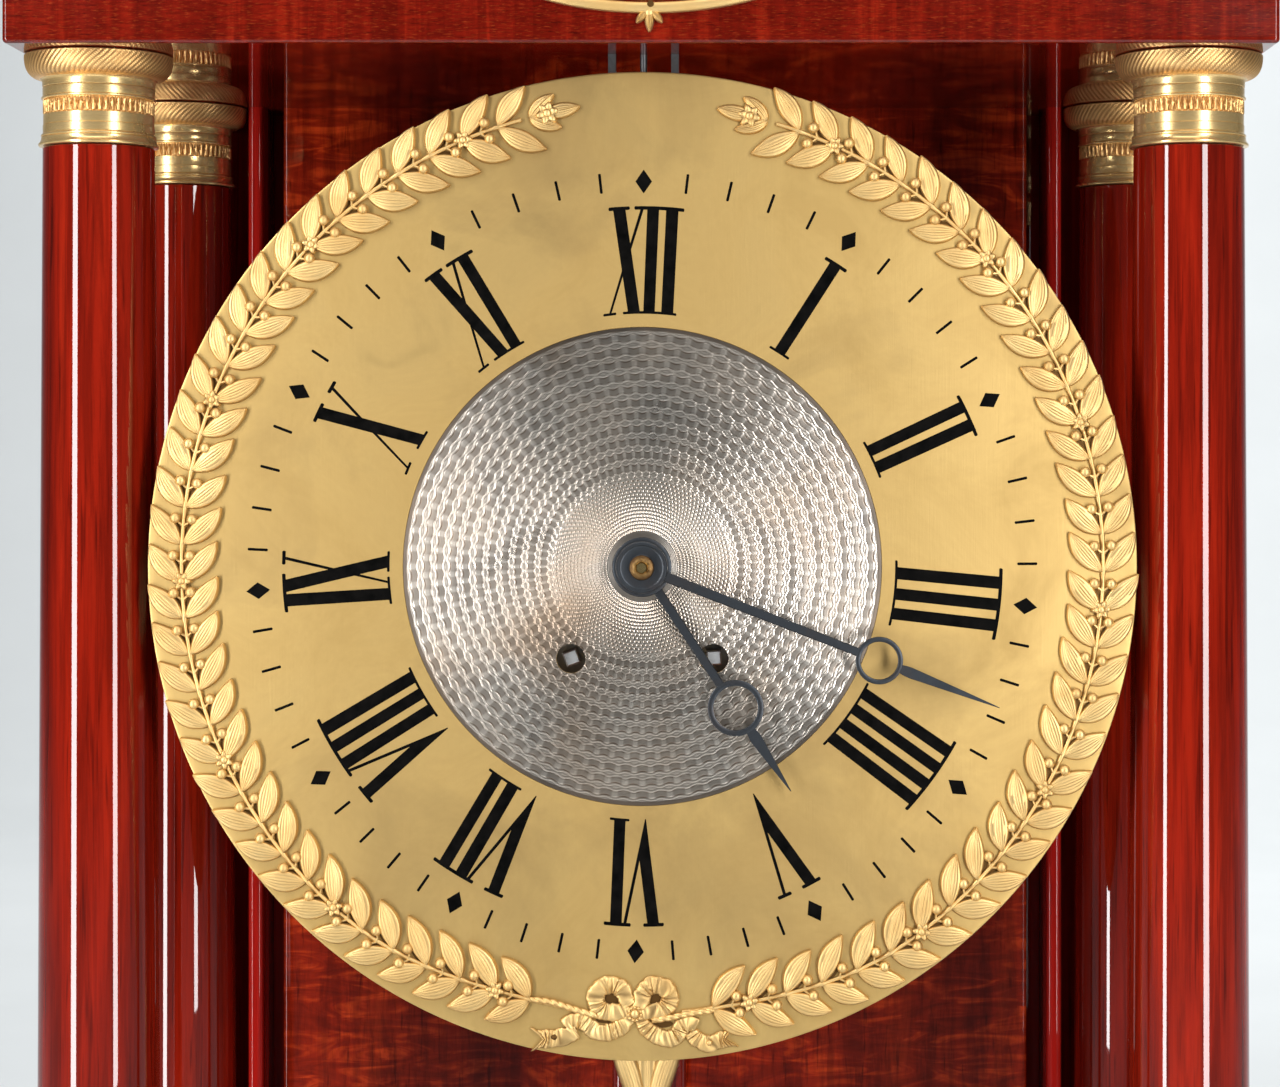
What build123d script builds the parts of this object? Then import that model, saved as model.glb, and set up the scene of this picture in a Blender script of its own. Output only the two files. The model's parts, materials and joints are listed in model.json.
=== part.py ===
from build123d import *
import os
from math import acos, asin, atan2, cos, degrees, hypot, pi, radians, sin, sqrt, tan

# Portico clock: four mahogany columns on a plinth carry an entablature, and a
# key-wound two-train movement with a large gilt dial hangs between them.
# Millimetres, +Z up, the dial faces -Y, origin at the middle of the footprint.

os.makedirs("parts", exist_ok=True)

# ------------------------------------------------------------ driving dimensions
FOOT_H = 14.0            # bun feet
BASE_H = 16.0            # base moulding
PLINTH_H = 66.0          # plinth block
SLAB_H = 12.0            # plinth top slab
PLINTH_X, PLINTH_Y = 412.0, 216.0
BASE_X, BASE_Y = 424.0, 228.0
SLAB_X, SLAB_Y = 418.0, 222.0
WALL = 14.0              # carcase wall

COL_PITCH_X = 347.6      # column spacing across
COL_PITCH_Y = 140.0      # column spacing front to back
COL_ZONE = 517.0         # slab top to entablature underside
COL_R_TOP, COL_R_LOW = 17.5, 19.7
CAPITAL_H, COL_BASE_H = 29.6, 28.0
ROD_R, ROD_BORE = 3.0, 3.4

ENT_X, ENT_Y, ENT_H = 394.0, 202.0, 80.0
ENT_FLOOR = 12.0         # bottom board of the entablature
CAP_X, CAP_Y, CAP_H = 404.0, 212.0, 12.0

DIAL_R, DIAL_T = 155.0, 2.5
DIAL_DROP = 162.0        # underside to dial centre
DIAL_Y = -86.0           # front face of the dial
CENTRE_R = 74.9          # silvered centre
WIND_X, WIND_Z = 22.4, -28.9
WIND_HOLE_R = 4.6
MINUTE_ANGLE, HOUR_ANGLE = 111.4, 146.4   # hands at rest, clockwise from 12

PLATE_R, PLATE_T, PLATE_GAP = 60.0, 2.5, 44.0
PLATE_Y = -68.0          # back face of the front plate
SLACK = 0.25             # clearance between pieces that move past each other
PENDULUM_Y = -8.0
ANCHOR_Z = 44.0          # pallet arbor above the dial centre
PENDULUM_L = 320.0       # suspension to bob centre

# ------------------------------------------------------------ derived levels
Z_PLINTH = FOOT_H + BASE_H
Z_SLAB = Z_PLINTH + PLINTH_H
Z_FLOOR = Z_SLAB + SLAB_H                 # the columns stand here
Z_UNDER = Z_FLOOR + COL_ZONE              # underside of the entablature
Z_TOP = Z_UNDER + ENT_H
Z_D = Z_UNDER - DIAL_DROP                 # dial centre
COLUMNS = [(sx * COL_PITCH_X / 2, sy * COL_PITCH_Y / 2) for sx in (-1, 1) for sy in (-1, 1)]
BACK_Y = PLATE_Y + PLATE_GAP              # front face of the back plate
REAR_Y = BACK_Y + PLATE_T                 # rear face of the back plate
FRONT_Y = PLATE_Y - PLATE_T               # front face of the front plate
DIAL_BACK = DIAL_Y + DIAL_T

# train layout, (x, z) from the dial centre
HUB = (0.0, 0.0)
GOING = (WIND_X, WIND_Z)
STRIKE = (-WIND_X, WIND_Z)


def meet(a, ra, b, rb, side):
    """The point at ra from a and rb from b, on the left (+1) or right (-1) of the line from a to b."""
    dx, dz = b[0] - a[0], b[1] - a[1]
    d = hypot(dx, dz)
    along = (ra * ra - rb * rb + d * d) / (2 * d)
    off = side * sqrt(ra * ra - along * along)
    return (a[0] + (along * dx - off * dz) / d, a[1] + (along * dz + off * dx) / d)


def step(a, r, deg):
    return (a[0] + r * cos(radians(deg)), a[1] + r * sin(radians(deg)))


M_BARREL, N_BARREL = 0.7, 60
M_SECOND, N_SECOND = 0.6, 60
M_CENTRE, N_CENTRE = 0.5, 72
M_THIRD, N_THIRD = 0.45, 72
PALLETS = (0.0, ANCHOR_Z)
ESCAPE = (0.0, ANCHOR_Z - 20.0)
ESCAPE_R, N_ESCAPE = 13.0, 30
SECOND = meet(HUB, M_SECOND * (N_SECOND + 8) / 2, GOING, M_BARREL * (N_BARREL + 8) / 2, 1)
THIRD = meet(HUB, M_CENTRE * (N_CENTRE + 7) / 2, ESCAPE, M_THIRD * (N_THIRD + 7) / 2, -1)
M_S2, N_S2 = 0.45, 72
M_PIN, N_PIN = 0.45, 54
M_WARN, N_WARN = 0.4, 48
S2 = step(STRIKE, M_BARREL * (N_BARREL + 10) / 2, 100)
PIN = step(S2, M_S2 * (N_S2 + 8) / 2, 75)
WARN = step(PIN, M_PIN * (N_PIN + 7) / 2, 65)
FLY = step(WARN, M_WARN * (N_WARN + 7) / 2, 150)
HAMMER = (-44.0, -14.0)
MINUTE = step(HUB, 12.0, 45)
PILLARS = [(0.0, -50.0), (48.0, 6.0), (-48.0, 6.0), (36.0, 36.0), (-36.0, 36.0)]
DIAL_FEET = [(38.0, 38.0), (-38.0, 38.0), (44.0, -20.0), (-44.0, -20.0)]


def facing(x, y, z):
    """A plane facing the front at depth y: its own x is X and its own y is Z."""
    return Plane(origin=(x, y, z), x_dir=(1, 0, 0), z_dir=(0, -1, 0))


def at(p, y):
    """The same plane, at a train position and depth y."""
    return facing(p[0], y, Z_D + p[1])


def bearing(a, b):
    return atan2(b[1] - a[1], b[0] - a[0])


def teeth(n, m, add, phase, ded=None):
    """Outline of an involute wheel with a tooth at the angle phase, thinned so that it runs with clearance."""
    rp = n * m / 2
    ra = rp + add * m
    rf = rp - (ded if ded is not None else 0.42 * m + SLACK)
    rb = rp * cos(radians(20))
    half = (pi * m / 2 - SLACK) / m / n
    inv = lambda r: tan(acos(min(1.0, rb / r))) - acos(min(1.0, rb / r))
    lean = lambda r: max(half + inv(rp) - inv(r), 0.12 * m / r)
    radii = [rf, max(rf, (rf + rp) / 2), rp, ra]
    out = []
    for i in range(n):
        c = phase + 2 * pi * i / n
        out += [(r * cos(c - lean(r)), r * sin(c - lean(r))) for r in radii]
        out += [(r * cos(c + lean(r)), r * sin(c + lean(r))) for r in reversed(radii)]
    return out


def crossed_wheel(outline, rim, hub, spokes, width, start):
    """A toothed wheel with crossings, in the current sketch."""
    with BuildLine() as edge:
        Polyline(*outline, close=True)
    make_face(edge.edges())
    Circle(rim, mode=Mode.SUBTRACT)
    Circle(hub)
    with PolarLocations((rim + hub) / 2, spokes, start_angle=start):
        Rectangle(rim - hub + 1.0, width)


def arbor(p, wheel, pinion, rim, hub, spokes, shaft=1.3, back=0.0):
    """One arbor of a train: wheel and pinion on a shaft with a pivot in each plate. wheel and pinion are (outline, near depth, far depth) from the front plate."""
    with BuildPart() as made:
        with BuildSketch(at(p, PLATE_Y + PLATE_GAP - 0.4)):
            Circle(shaft)
        extrude(amount=PLATE_GAP - 0.8)
        with BuildSketch(at(p, REAR_Y + back)):
            Circle(0.8)
        extrude(amount=PLATE_GAP + 2 * PLATE_T + back)
        with BuildSketch(at(p, PLATE_Y + wheel[2])):
            crossed_wheel(wheel[0], rim, hub, spokes, 1.8, 20)
        extrude(amount=wheel[2] - wheel[1])
        with BuildSketch(at(p, PLATE_Y + pinion[2])):
            with BuildLine():
                Polyline(*pinion[0], close=True)
            make_face()
        extrude(amount=pinion[2] - pinion[1])
    return made


# ============================================================ case
with BuildPart() as bun_feet:
    for fx in (-184, 184):
        for fy in (-86, 86):
            with BuildSketch(Plane.XZ.offset(-fy)):
                with BuildLine():
                    Polyline((fx, 0), (fx + 11, 0))
                    ThreePointArc((fx + 11, 0), (fx + 17, 6.2), (fx + 12.5, FOOT_H - 2))
                    Polyline((fx + 12.5, FOOT_H - 2), (fx + 12.5, FOOT_H), (fx, FOOT_H), (fx, 0))
                make_face()
            revolve(axis=Axis((fx, fy, 0), (0, 0, 1)))

with BuildPart() as base_moulding:
    with BuildSketch(Plane.XY.offset(FOOT_H)):
        Rectangle(BASE_X, BASE_Y)
    extrude(amount=BASE_H)
    fillet(base_moulding.edges().filter_by(Axis.Z), 3)
    fillet(base_moulding.faces().sort_by(Axis.Z)[-1].edges(), 5.5)
    with BuildSketch(Plane.XY.offset(FOOT_H + 6)):
        Rectangle(PLINTH_X - 2 * WALL, PLINTH_Y - 2 * WALL)
    extrude(amount=BASE_H, mode=Mode.SUBTRACT)

with BuildPart() as plinth_block:
    with BuildSketch(Plane.XY.offset(Z_PLINTH)):
        Rectangle(PLINTH_X, PLINTH_Y)
        Rectangle(PLINTH_X - 2 * WALL, PLINTH_Y - 2 * WALL, mode=Mode.SUBTRACT)
    extrude(amount=PLINTH_H)
    fillet(plinth_block.edges().filter_by(Axis.Z).group_by(SortBy.DISTANCE)[-1], 1.5)

with BuildPart() as plinth_slab:
    with BuildSketch(Plane.XY.offset(Z_SLAB)):
        Rectangle(SLAB_X, SLAB_Y)
    extrude(amount=SLAB_H)
    fillet(plinth_slab.edges().filter_by(Axis.Z), 3)
    fillet(plinth_slab.faces().sort_by(Axis.Z)[-1].edges(), 3.5)
    with Locations(*[(x, y, Z_FLOOR) for x, y in COLUMNS]):
        Hole(ROD_BORE)

Z_SHAFT0, Z_SHAFT1 = Z_FLOOR + COL_BASE_H, Z_UNDER - CAPITAL_H
with BuildPart() as columns:
    for cx, cy in COLUMNS:
        with BuildSketch(Plane.XZ.offset(-cy)):
            with BuildLine():
                mid = (Z_SHAFT0 + Z_SHAFT1) / 2
                Line((cx + ROD_BORE, Z_SHAFT0), (cx + COL_R_LOW, Z_SHAFT0))
                ThreePointArc(
                    (cx + COL_R_LOW, Z_SHAFT0),
                    (cx + (COL_R_LOW + COL_R_TOP) / 2 + 0.15, mid),
                    (cx + COL_R_TOP, Z_SHAFT1),
                )
                Polyline((cx + COL_R_TOP, Z_SHAFT1), (cx + ROD_BORE, Z_SHAFT1), (cx + ROD_BORE, Z_SHAFT0))
            make_face()
        revolve(axis=Axis((cx, cy, 0), (0, 0, 1)))


def turned_ring(cx, cy, z0, profile):
    """A ring turned about a column's axis; profile is a list of points, or of (point, mid point) where an arc comes in."""
    with BuildSketch(Plane.XZ.offset(-cy)) as section:
        with BuildLine():
            last = None
            for item in profile:
                via, point = item if isinstance(item[0], tuple) else (None, item)
                here = (cx + point[0], z0 + point[1])
                if last is not None and via is None:
                    Line(last, here)
                elif last is not None:
                    ThreePointArc(last, (cx + via[0], z0 + via[1]), here)
                last = here
        make_face()
    revolve(section.sketch, axis=Axis((cx, cy, 0), (0, 0, 1)))


with BuildPart() as column_bases:
    for cx, cy in COLUMNS:
        turned_ring(cx, cy, Z_FLOOR, [
            (ROD_BORE, 0), (23.2, 0), (23.2, 4.5), (21.4, 5.0),
            ((23.3, 9.0), (21.4, 13.0)), (20.9, 13.6), (20.9, 15.0),
            ((19.9, 17.4), (20.6, 19.8)), ((21.6, 21.8), (20.6, 23.8)),
            (20.2, 24.2), (20.2, COL_BASE_H - 0.6), (ROD_BORE, COL_BASE_H - 0.6), (ROD_BORE, 0),
        ])

with BuildPart() as column_capitals:
    for cx, cy in COLUMNS:
        turned_ring(cx, cy, Z_SHAFT1 + 0.6, [
            (ROD_BORE, 0), (18.7, 0), (18.7, 1.1), (18.0, 1.8), (18.0, 2.5), (18.4, 2.8), (18.4, 3.4),
            (17.9, 3.9), (17.9, 9.9), (17.5, 10.2), (17.5, 14.7), (17.9, 15.0), (17.9, 20.2), (18.6, 21.3),
            ((22.1, 22.9), (23.2, 26.2)), ((23.05, 27.6), (22.2, 28.6)), (19.0, 28.6), (19.0, CAPITAL_H - 0.6),
            (ROD_BORE, CAPITAL_H - 0.6), (ROD_BORE, 0),
        ])

with BuildPart() as column_tie_rods:
    for cx, cy in COLUMNS:
        with BuildSketch(Plane.XY.offset(Z_SLAB - 11)):
            with Locations((cx, cy)):
                Circle(ROD_R)
        extrude(amount=Z_UNDER + ENT_FLOOR + 11 - (Z_SLAB - 11))
        for z, h, r in ((Z_SLAB - 1.5, 1.5, 9.0), (Z_UNDER + ENT_FLOOR, 1.5, 9.0)):
            with BuildSketch(Plane.XY.offset(z)):
                with Locations((cx, cy)):
                    Circle(r)
                    Circle(ROD_R + 0.1, mode=Mode.SUBTRACT)
            extrude(amount=h)
        for z, h in ((Z_SLAB - 1.5 - 5, 5), (Z_UNDER + ENT_FLOOR + 1.5, 5)):
            with BuildSketch(Plane.XY.offset(z)):
                with Locations((cx, cy)):
                    RegularPolygon(5.8, 6)
                    Circle(ROD_R + 0.1, mode=Mode.SUBTRACT)
            extrude(amount=h)

with BuildPart() as entablature_box:
    with BuildSketch(Plane.XY.offset(Z_UNDER)):
        Rectangle(ENT_X, ENT_Y)
    extrude(amount=ENT_H)
    fillet(entablature_box.edges().filter_by(Axis.Z), 1.5)
    fillet(entablature_box.faces().sort_by(Axis.Z)[0].edges(), 1.3)
    with BuildSketch(Plane.XY.offset(Z_UNDER + ENT_FLOOR)):
        Rectangle(ENT_X - 2 * WALL, ENT_Y - 2 * WALL)
    extrude(amount=ENT_H, mode=Mode.SUBTRACT)
    with BuildSketch(Plane.XY.offset(Z_UNDER)):
        with Locations(*COLUMNS):
            Circle(ROD_BORE)
        with Locations((-10, FRONT_Y - 2.25), (10, FRONT_Y - 2.25)):
            Rectangle(3.0, 5.1)
        with Locations((0, FRONT_Y - 2.25)):
            Circle(1.4)
    extrude(amount=ENT_FLOOR, mode=Mode.SUBTRACT)
    # pilot holes for the hanger's screws
    with BuildSketch(Plane.XY.offset(Z_UNDER + 2.5)):
        with Locations((-23, FRONT_Y - 2.25), (23, FRONT_Y - 2.25)):
            Circle(1.3)
    extrude(amount=ENT_FLOOR, mode=Mode.SUBTRACT)

with BuildPart() as entablature_cap:
    with BuildSketch(Plane.XY.offset(Z_TOP)):
        Rectangle(CAP_X, CAP_Y)
    extrude(amount=CAP_H)
    fillet(entablature_cap.edges().filter_by(Axis.Z), 2.5)
    fillet(entablature_cap.faces().sort_by(Axis.Z)[-1].edges(), 4)
    fillet(entablature_cap.faces().sort_by(Axis.Z)[0].edges(), 3)

# oval patera with a leaf drop at the top and the bottom
MOUNT_Z = Z_UNDER + ENT_H / 2 + 1.0
with BuildPart() as frieze_mount:
    with BuildSketch(facing(0, -ENT_Y / 2, MOUNT_Z)):
        Ellipse(64, 30)
        Ellipse(58.5, 24.5, mode=Mode.SUBTRACT)
        Ellipse(20, 10)
        Rectangle(118, 3.2)
        Rectangle(3.2, 50)
        with Locations((0, -31.5), (0, 31.5)):
            Ellipse(3.6, 5.0)
    extrude(amount=3.0)

BACK_FRAME_Y0, BACK_FRAME_Y1 = 94.0, 101.0
with BuildPart() as back_frame:
    with BuildSketch(Plane.XY.offset(Z_FLOOR)):
        with Locations((-155, (BACK_FRAME_Y0 + BACK_FRAME_Y1) / 2), (155, (BACK_FRAME_Y0 + BACK_FRAME_Y1) / 2)):
            Rectangle(66, BACK_FRAME_Y1 - BACK_FRAME_Y0)
        with Locations((-146.75, 80.5), (146.75, 80.5)):
            RectangleRounded(5.5, 27.6, 2.0)
    extrude(amount=COL_ZONE)
    for z in (Z_FLOOR, Z_UNDER - 40):
        with BuildSketch(Plane.XY.offset(z)):
            with Locations((0, (BACK_FRAME_Y0 + BACK_FRAME_Y1) / 2)):
                Rectangle(260, BACK_FRAME_Y1 - BACK_FRAME_Y0)
        extrude(amount=40)

with BuildPart() as back_panel:
    with BuildSketch(Plane.XY.offset(Z_FLOOR)):
        with Locations((0, 82)):
            Rectangle(274, 24)
    extrude(amount=COL_ZONE)
    fillet(back_panel.edges().filter_by(Axis.Z).group_by(Axis.Y)[0], 1.5)
    with BuildSketch(facing(0, 94, (Z_FLOOR + Z_UNDER) / 2)):
        Rectangle(238, COL_ZONE - 70)
    extrude(amount=15, mode=Mode.SUBTRACT)

# ============================================================ dial
STROKE, HAIR = 3.4, 0.9                   # numeral strokes
NUM_R0, NUM_R1 = 78.8, 112.4              # numerals, inner and outer radius
MARK_R, INLAY_D = 120.6, 0.4
OUTER_SERIF, INNER_SERIF = 1.1, 0.8       # thickness of the lines that close the strokes
# Each numeral: bars, thick diagonals and hairlines as (outer x, inner x), a V as (thick, point, hairline),
# then the lines across its outer and its inner end, from x to x.
NUMERALS = {
    "I": ([(0, 0)], [], [], [], [(-4.0, 4.0)], [(-3.6, 3.6)]),
    "II": ([(-3.1, -2.85), (3.1, 2.85)], [], [], [], [(-7.0, 7.0)], [(-6.2, 6.2)]),
    "III": ([(-6.2, -5.7), (0, 0), (6.2, 5.7)], [], [], [], [(-10.1, 10.1)], [(-9.1, 9.1)]),
    "IIII": ([(-9.3, -8.5), (-3.1, -2.85), (3.1, 2.85), (9.3, 8.5)], [], [], [], [(-13.2, 13.2)], [(-11.9, 11.9)]),
    "V": ([], [], [], [(-4.1, 0.0, 5.1)], [(-7.4, -0.9), (2.8, 7.4)], []),
    "VI": ([(5.9, 5.3)], [], [], [(-5.9, -2.7, 3.2)], [(-9.2, -2.7), (1.2, 9.7)], [(2.3, 8.5)]),
    "VII": ([(2.7, 2.1), (8.9, 7.9)], [], [], [(-8.9, -5.9, 0.2)], [(-12.2, -5.7), (-1.8, 12.7)], [(-0.9, 11.1)]),
    "VIII": ([(-0.4, -1.0), (5.8, 4.8), (12.0, 10.5)], [], [], [(-12.0, -8.8, -2.9)], [(-15.3, -8.8), (-4.9, 15.8)], [(-4.0, 13.7)]),
    "IX": ([(-7.0, -6.0)], [(-2.6, 4.2)], [(6.4, -2.4)], [], [(-10.8, 1.4), (4.2, 8.6)], [(-9.2, -0.6), (0.9, 7.4)]),
    "X": ([], [(-3.9, 3.4)], [(5.1, -6.5)], [], [(-7.1, -0.7), (3.0, 7.2)], [(-8.6, -4.4), (0.2, 6.6)]),
    "XI": ([(5.35, 4.3)], [(-5.4, -0.4)], [(2.05, -7.9)], [], [(-8.7, -2.0), (-0.6, 9.1)], [(-10.1, -5.9), (-3.9, 7.2)]),
    "XII": ([(2.34, 1.3), (8.35, 7.0)], [(-8.4, -3.4)], [(-0.94, -10.9)], [], [(-11.7, -5.0), (-3.6, 12.1)], [(-13.0, -8.9), (-6.9, 9.9)]),
}
# the dial is divided by hand, and its hours open towards the lower half
HOURS = [0.2, 32.4, 64.4, 95.9, 125.0, 153.4, 181.0, 209.2, 236.7, 266.4, 297.0, 327.9, 360.2]


def hour_angle(minute):
    """Angle of a minute mark, clockwise from 12, in even steps between its two hours."""
    h = minute // 5
    return HOURS[h] + (HOURS[h + 1] - HOURS[h]) * (minute % 5) / 5


def numeral(text):
    """Closed outlines of a Roman numeral in its own frame, x across and y outward from its inner end."""
    h = NUM_R1 - NUM_R0
    bars, thick, hair, vees, outer, inner = NUMERALS[text]
    shapes = []
    for top, foot in bars + thick:
        shapes.append([(foot - STROKE / 2, 0.2), (foot + STROKE / 2, 0.2), (top + STROKE / 2, h - 0.2), (top - STROKE / 2, h - 0.2)])
    for top, foot in hair:
        shapes.append([(foot - HAIR * 0.4, 0.2), (foot + HAIR * 0.4, 0.2), (top + HAIR * 0.55, h - 0.2), (top - HAIR * 0.55, h - 0.2)])
    for top, point, fine in vees:
        # the counter of the V closes well above its point
        left, right = top + STROKE / 2, fine - HAIR * 0.55
        f = (STROKE + 0.6) / (right - left + STROKE + 0.6)
        shapes.append([(point - 0.2, 0), (point + 0.2, 0), (fine + HAIR * 0.55, h - 0.2), (right, h - 0.2),
                       (point - 0.8 + (right - point + 0.8) * f, h * f), (left, h - 0.2), (top - STROKE / 2, h - 0.2)])
    for lines, y0, y1 in ((outer, h - OUTER_SERIF, h), (inner, 0, INNER_SERIF)):
        for x0, x1 in lines:
            n = max(2, round((x1 - x0) / 3))
            c = (y1 - y0) * 0.3
            mid = [x0 + c + (x1 - x0 - 2 * c) * k / n for k in range(n + 1)]
            shapes.append([(x0, y0 + c)] + [(x, y0) for x in mid] + [(x1, y0 + c), (x1, y1 - c)]
                          + [(x, y1) for x in reversed(mid)] + [(x0, y1 - c)])
    # the whole numeral is bent to the ring it stands on
    return [[(x, y - x * x / (2 * (NUM_R0 + y))) for x, y in shape] for shape in shapes]


def on_dial(points, angle, radius):
    """Turn outline points that stand at 12 to a clock angle, radius being where y = 0 is."""
    t = radians(angle)
    return [(px * cos(t) + (py + radius) * sin(t), -px * sin(t) + (py + radius) * cos(t)) for px, py in points]


INLAY = []                                # groups of outlines, one group to a filled cut
for i, text in enumerate(["XII", "I", "II", "III", "IIII", "V", "VI", "VII", "VIII", "IX", "X", "XI"]):
    INLAY.append([on_dial(o, hour_angle(5 * i), NUM_R0) for o in numeral(text)])
for minute in range(60):
    if minute % 5 == 0:
        outline = [(0, -3.7), (2.65, 0), (0, 3.7), (-2.65, 0)]
    else:
        outline = [(-0.42, -3.1), (0.42, -3.1), (0.42, 3.1), (-0.42, 3.1)]
    INLAY.append([on_dial(outline, hour_angle(minute), MARK_R)])


def filled(outlines):
    """The faces of one filled cut, on the floor of the engraving."""
    with BuildSketch(facing(0, DIAL_Y + INLAY_D, Z_D)) as cut:
        for outline in outlines:
            with BuildLine() as edge:
                Polyline(*outline, close=True)
            make_face(edge.edges())
    return cut.sketch.faces()


CUTS = [face for group in INLAY for face in filled(group)]

with BuildPart() as chapter_inlay:
    add(CUTS)
    extrude(amount=INLAY_D, dir=(0, -1, 0))

RECESS = 0.9                              # seat of the silvered centre
with BuildPart() as dial_plate:
    with BuildSketch(facing(0, DIAL_BACK, Z_D)):
        Circle(DIAL_R)
    extrude(amount=DIAL_T)
    chamfer(dial_plate.faces().sort_by(Axis.Y)[0].edges(), 0.8)
    with BuildSketch(facing(0, DIAL_Y + RECESS, Z_D)):
        Circle(CENTRE_R + 0.1)
    extrude(amount=RECESS + 1, mode=Mode.SUBTRACT)
    with BuildSketch(facing(0, DIAL_BACK, Z_D)):
        Circle(5.2)
        with Locations((-WIND_X, WIND_Z), (WIND_X, WIND_Z)):
            Circle(WIND_HOLE_R)
    extrude(amount=DIAL_T + 1, mode=Mode.SUBTRACT)
    add(CUTS)
    extrude(amount=INLAY_D + 0.5, dir=(0, -1, 0), mode=Mode.SUBTRACT)

with BuildPart() as dial_centre:
    with BuildSketch(facing(0, DIAL_Y + RECESS, Z_D)):
        Circle(CENTRE_R)
        Circle(5.2, mode=Mode.SUBTRACT)
        with Locations((-WIND_X, WIND_Z), (WIND_X, WIND_Z)):
            Circle(WIND_HOLE_R, mode=Mode.SUBTRACT)
    extrude(amount=RECESS)

# laurel branches: pairs of leaves on a stem that follows the dial's edge
STEM_R, LEAF_L, LEAF_W, LEAF_PAIRS = 143.7, 14.2, 6.0, 33
LEAF_T = 1.3
WREATH_A0, WREATH_A1 = 191.5, 351.0       # left branch, clockwise from 12


def leaf_outline(angle, side, mirror_x):
    """A lens-shaped leaf that leaves the stem at a clock angle and leans towards the branch's tip."""
    t = radians(angle)
    ox, oz = STEM_R * sin(t), STEM_R * cos(t)
    lean = radians(37) * side
    dirx, dirz = cos(t), -sin(t)                      # along the stem, clockwise
    radx, radz = sin(t), cos(t)
    ux, uz = dirx * cos(lean) + radx * sin(lean), dirz * cos(lean) + radz * sin(lean)
    vx, vz = -uz, ux
    pts = []
    for f, w in ((0.0, 0.0), (0.18, 0.62), (0.42, 1.0), (0.7, 0.78), (1.0, 0.0), (0.7, -0.78), (0.42, -1.0), (0.18, -0.62)):
        px = ox + ux * LEAF_L * f + vx * LEAF_W / 2 * w
        pz = oz + uz * LEAF_L * f + vz * LEAF_W / 2 * w
        k = min(1.0, (DIAL_R - 0.2) / hypot(px, pz))  # the tips stay on the plate
        pts.append((px * k * mirror_x, pz * k))
    return pts


with BuildPart() as laurel_branches:
    for mirror_x in (1, -1):
        p = lambda r, a: (r * cos(radians(90 - a)) * mirror_x, r * sin(radians(90 - a)))
        ro, ri, am = STEM_R + 1.0, STEM_R - 1.0, (WREATH_A0 + WREATH_A1) / 2
        with BuildSketch(facing(0, DIAL_Y, Z_D)):
            with BuildLine():
                ThreePointArc(p(ro, WREATH_A0), p(ro, am), p(ro, WREATH_A1))
                Line(p(ro, WREATH_A1), p(ri, WREATH_A1))
                ThreePointArc(p(ri, WREATH_A1), p(ri, am), p(ri, WREATH_A0))
                Line(p(ri, WREATH_A0), p(ro, WREATH_A0))
            make_face()
            for i in range(LEAF_PAIRS):
                angle = WREATH_A0 + 3.0 + (WREATH_A1 - WREATH_A0 - 6.0) * i / (LEAF_PAIRS - 1)
                for side in (-1, 1):
                    with BuildLine():
                        Polyline(*leaf_outline(angle, side, mirror_x), close=True)
                    make_face()
        extrude(amount=LEAF_T)

BOW_Z = -139.6                            # knot of the ribbon, from the dial centre
with BuildPart() as ribbon_bow:
    with BuildSketch(facing(0, DIAL_Y, Z_D + BOW_Z)):
        Circle(3.2)
        for s in (-1, 1):
            with BuildLine():
                Polyline((0, -1.2), (s * 6, -1.6), (s * 13.5, 1.2), (s * 15.5, 5.6), (s * 12.5, 10.4), (s * 6, 8.8), (0, 1.6), close=True)
            make_face()
            with BuildLine():
                Polyline((s * 1.0, -1.2), (s * 11, -5.0), (s * 20, -3.0), (s * 26.5, -6.6), (s * 25.2, -9.8), (s * 18, -7.0), (s * 10, -9.0), (0, -2.8), close=True)
            make_face()
    extrude(amount=LEAF_T)

with BuildPart() as dial_feet:
    for p in DIAL_FEET:
        with BuildSketch(at(p, FRONT_Y)):
            Circle(3.0)
        extrude(amount=FRONT_Y - DIAL_BACK)

# ============================================================ hands
def hand(angle, length, ring_at, ring_out, ring_in, shank, tip_w, boss, bore, y0, thick):
    """A hand with an open ring, pointing at a clock angle; y0 is its rear face."""
    with BuildPart() as made:
        frame = Plane(origin=(0, y0, Z_D), x_dir=(sin(radians(angle)), 0, cos(radians(angle))), z_dir=(0, -1, 0))
        with BuildSketch(frame):
            Circle(boss)
            with Locations((ring_at / 2, 0)):
                Rectangle(ring_at, shank)
            with Locations((ring_at, 0)):
                Circle(ring_out)
                Circle(ring_in, mode=Mode.SUBTRACT)
            with BuildLine():
                Polyline((ring_at + ring_in + 0.35, -tip_w / 2 * 0.62), (ring_at + ring_out + 2.2, -tip_w / 2), (length, -0.25), (length, 0.25),
                         (ring_at + ring_out + 2.2, tip_w / 2), (ring_at + ring_in + 0.35, tip_w / 2 * 0.62), close=True)
            make_face()
            Circle(bore, mode=Mode.SUBTRACT)
        extrude(amount=thick)
        # the boss is thicker than the blade
        with BuildSketch(frame.offset(thick)):
            Circle(boss)
            Circle(bore, mode=Mode.SUBTRACT)
        extrude(amount=0.5)
    return made


HOUR_Y, MIN_Y, HAND_T = -89.4, -92.6, 1.2
hour_hand = hand(HOUR_ANGLE, 83.8, 52.8, 8.75, 6.8, 3.3, 4.6, 9.3, 3.65, HOUR_Y, HAND_T)
minute_hand = hand(MINUTE_ANGLE, 119.3, 79.3, 7.4, 6.0, 2.9, 3.8, 8.1, 2.25, MIN_Y, HAND_T)

with BuildPart() as hand_collet:
    with BuildSketch(facing(0, MIN_Y - HAND_T - 0.5, Z_D)):
        Circle(3.9)
        Circle(1.75, mode=Mode.SUBTRACT)
    extrude(amount=1.4)
    fillet(hand_collet.faces().sort_by(Axis.Y)[0].edges().sort_by(Edge.length)[-1], 0.6)

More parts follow.
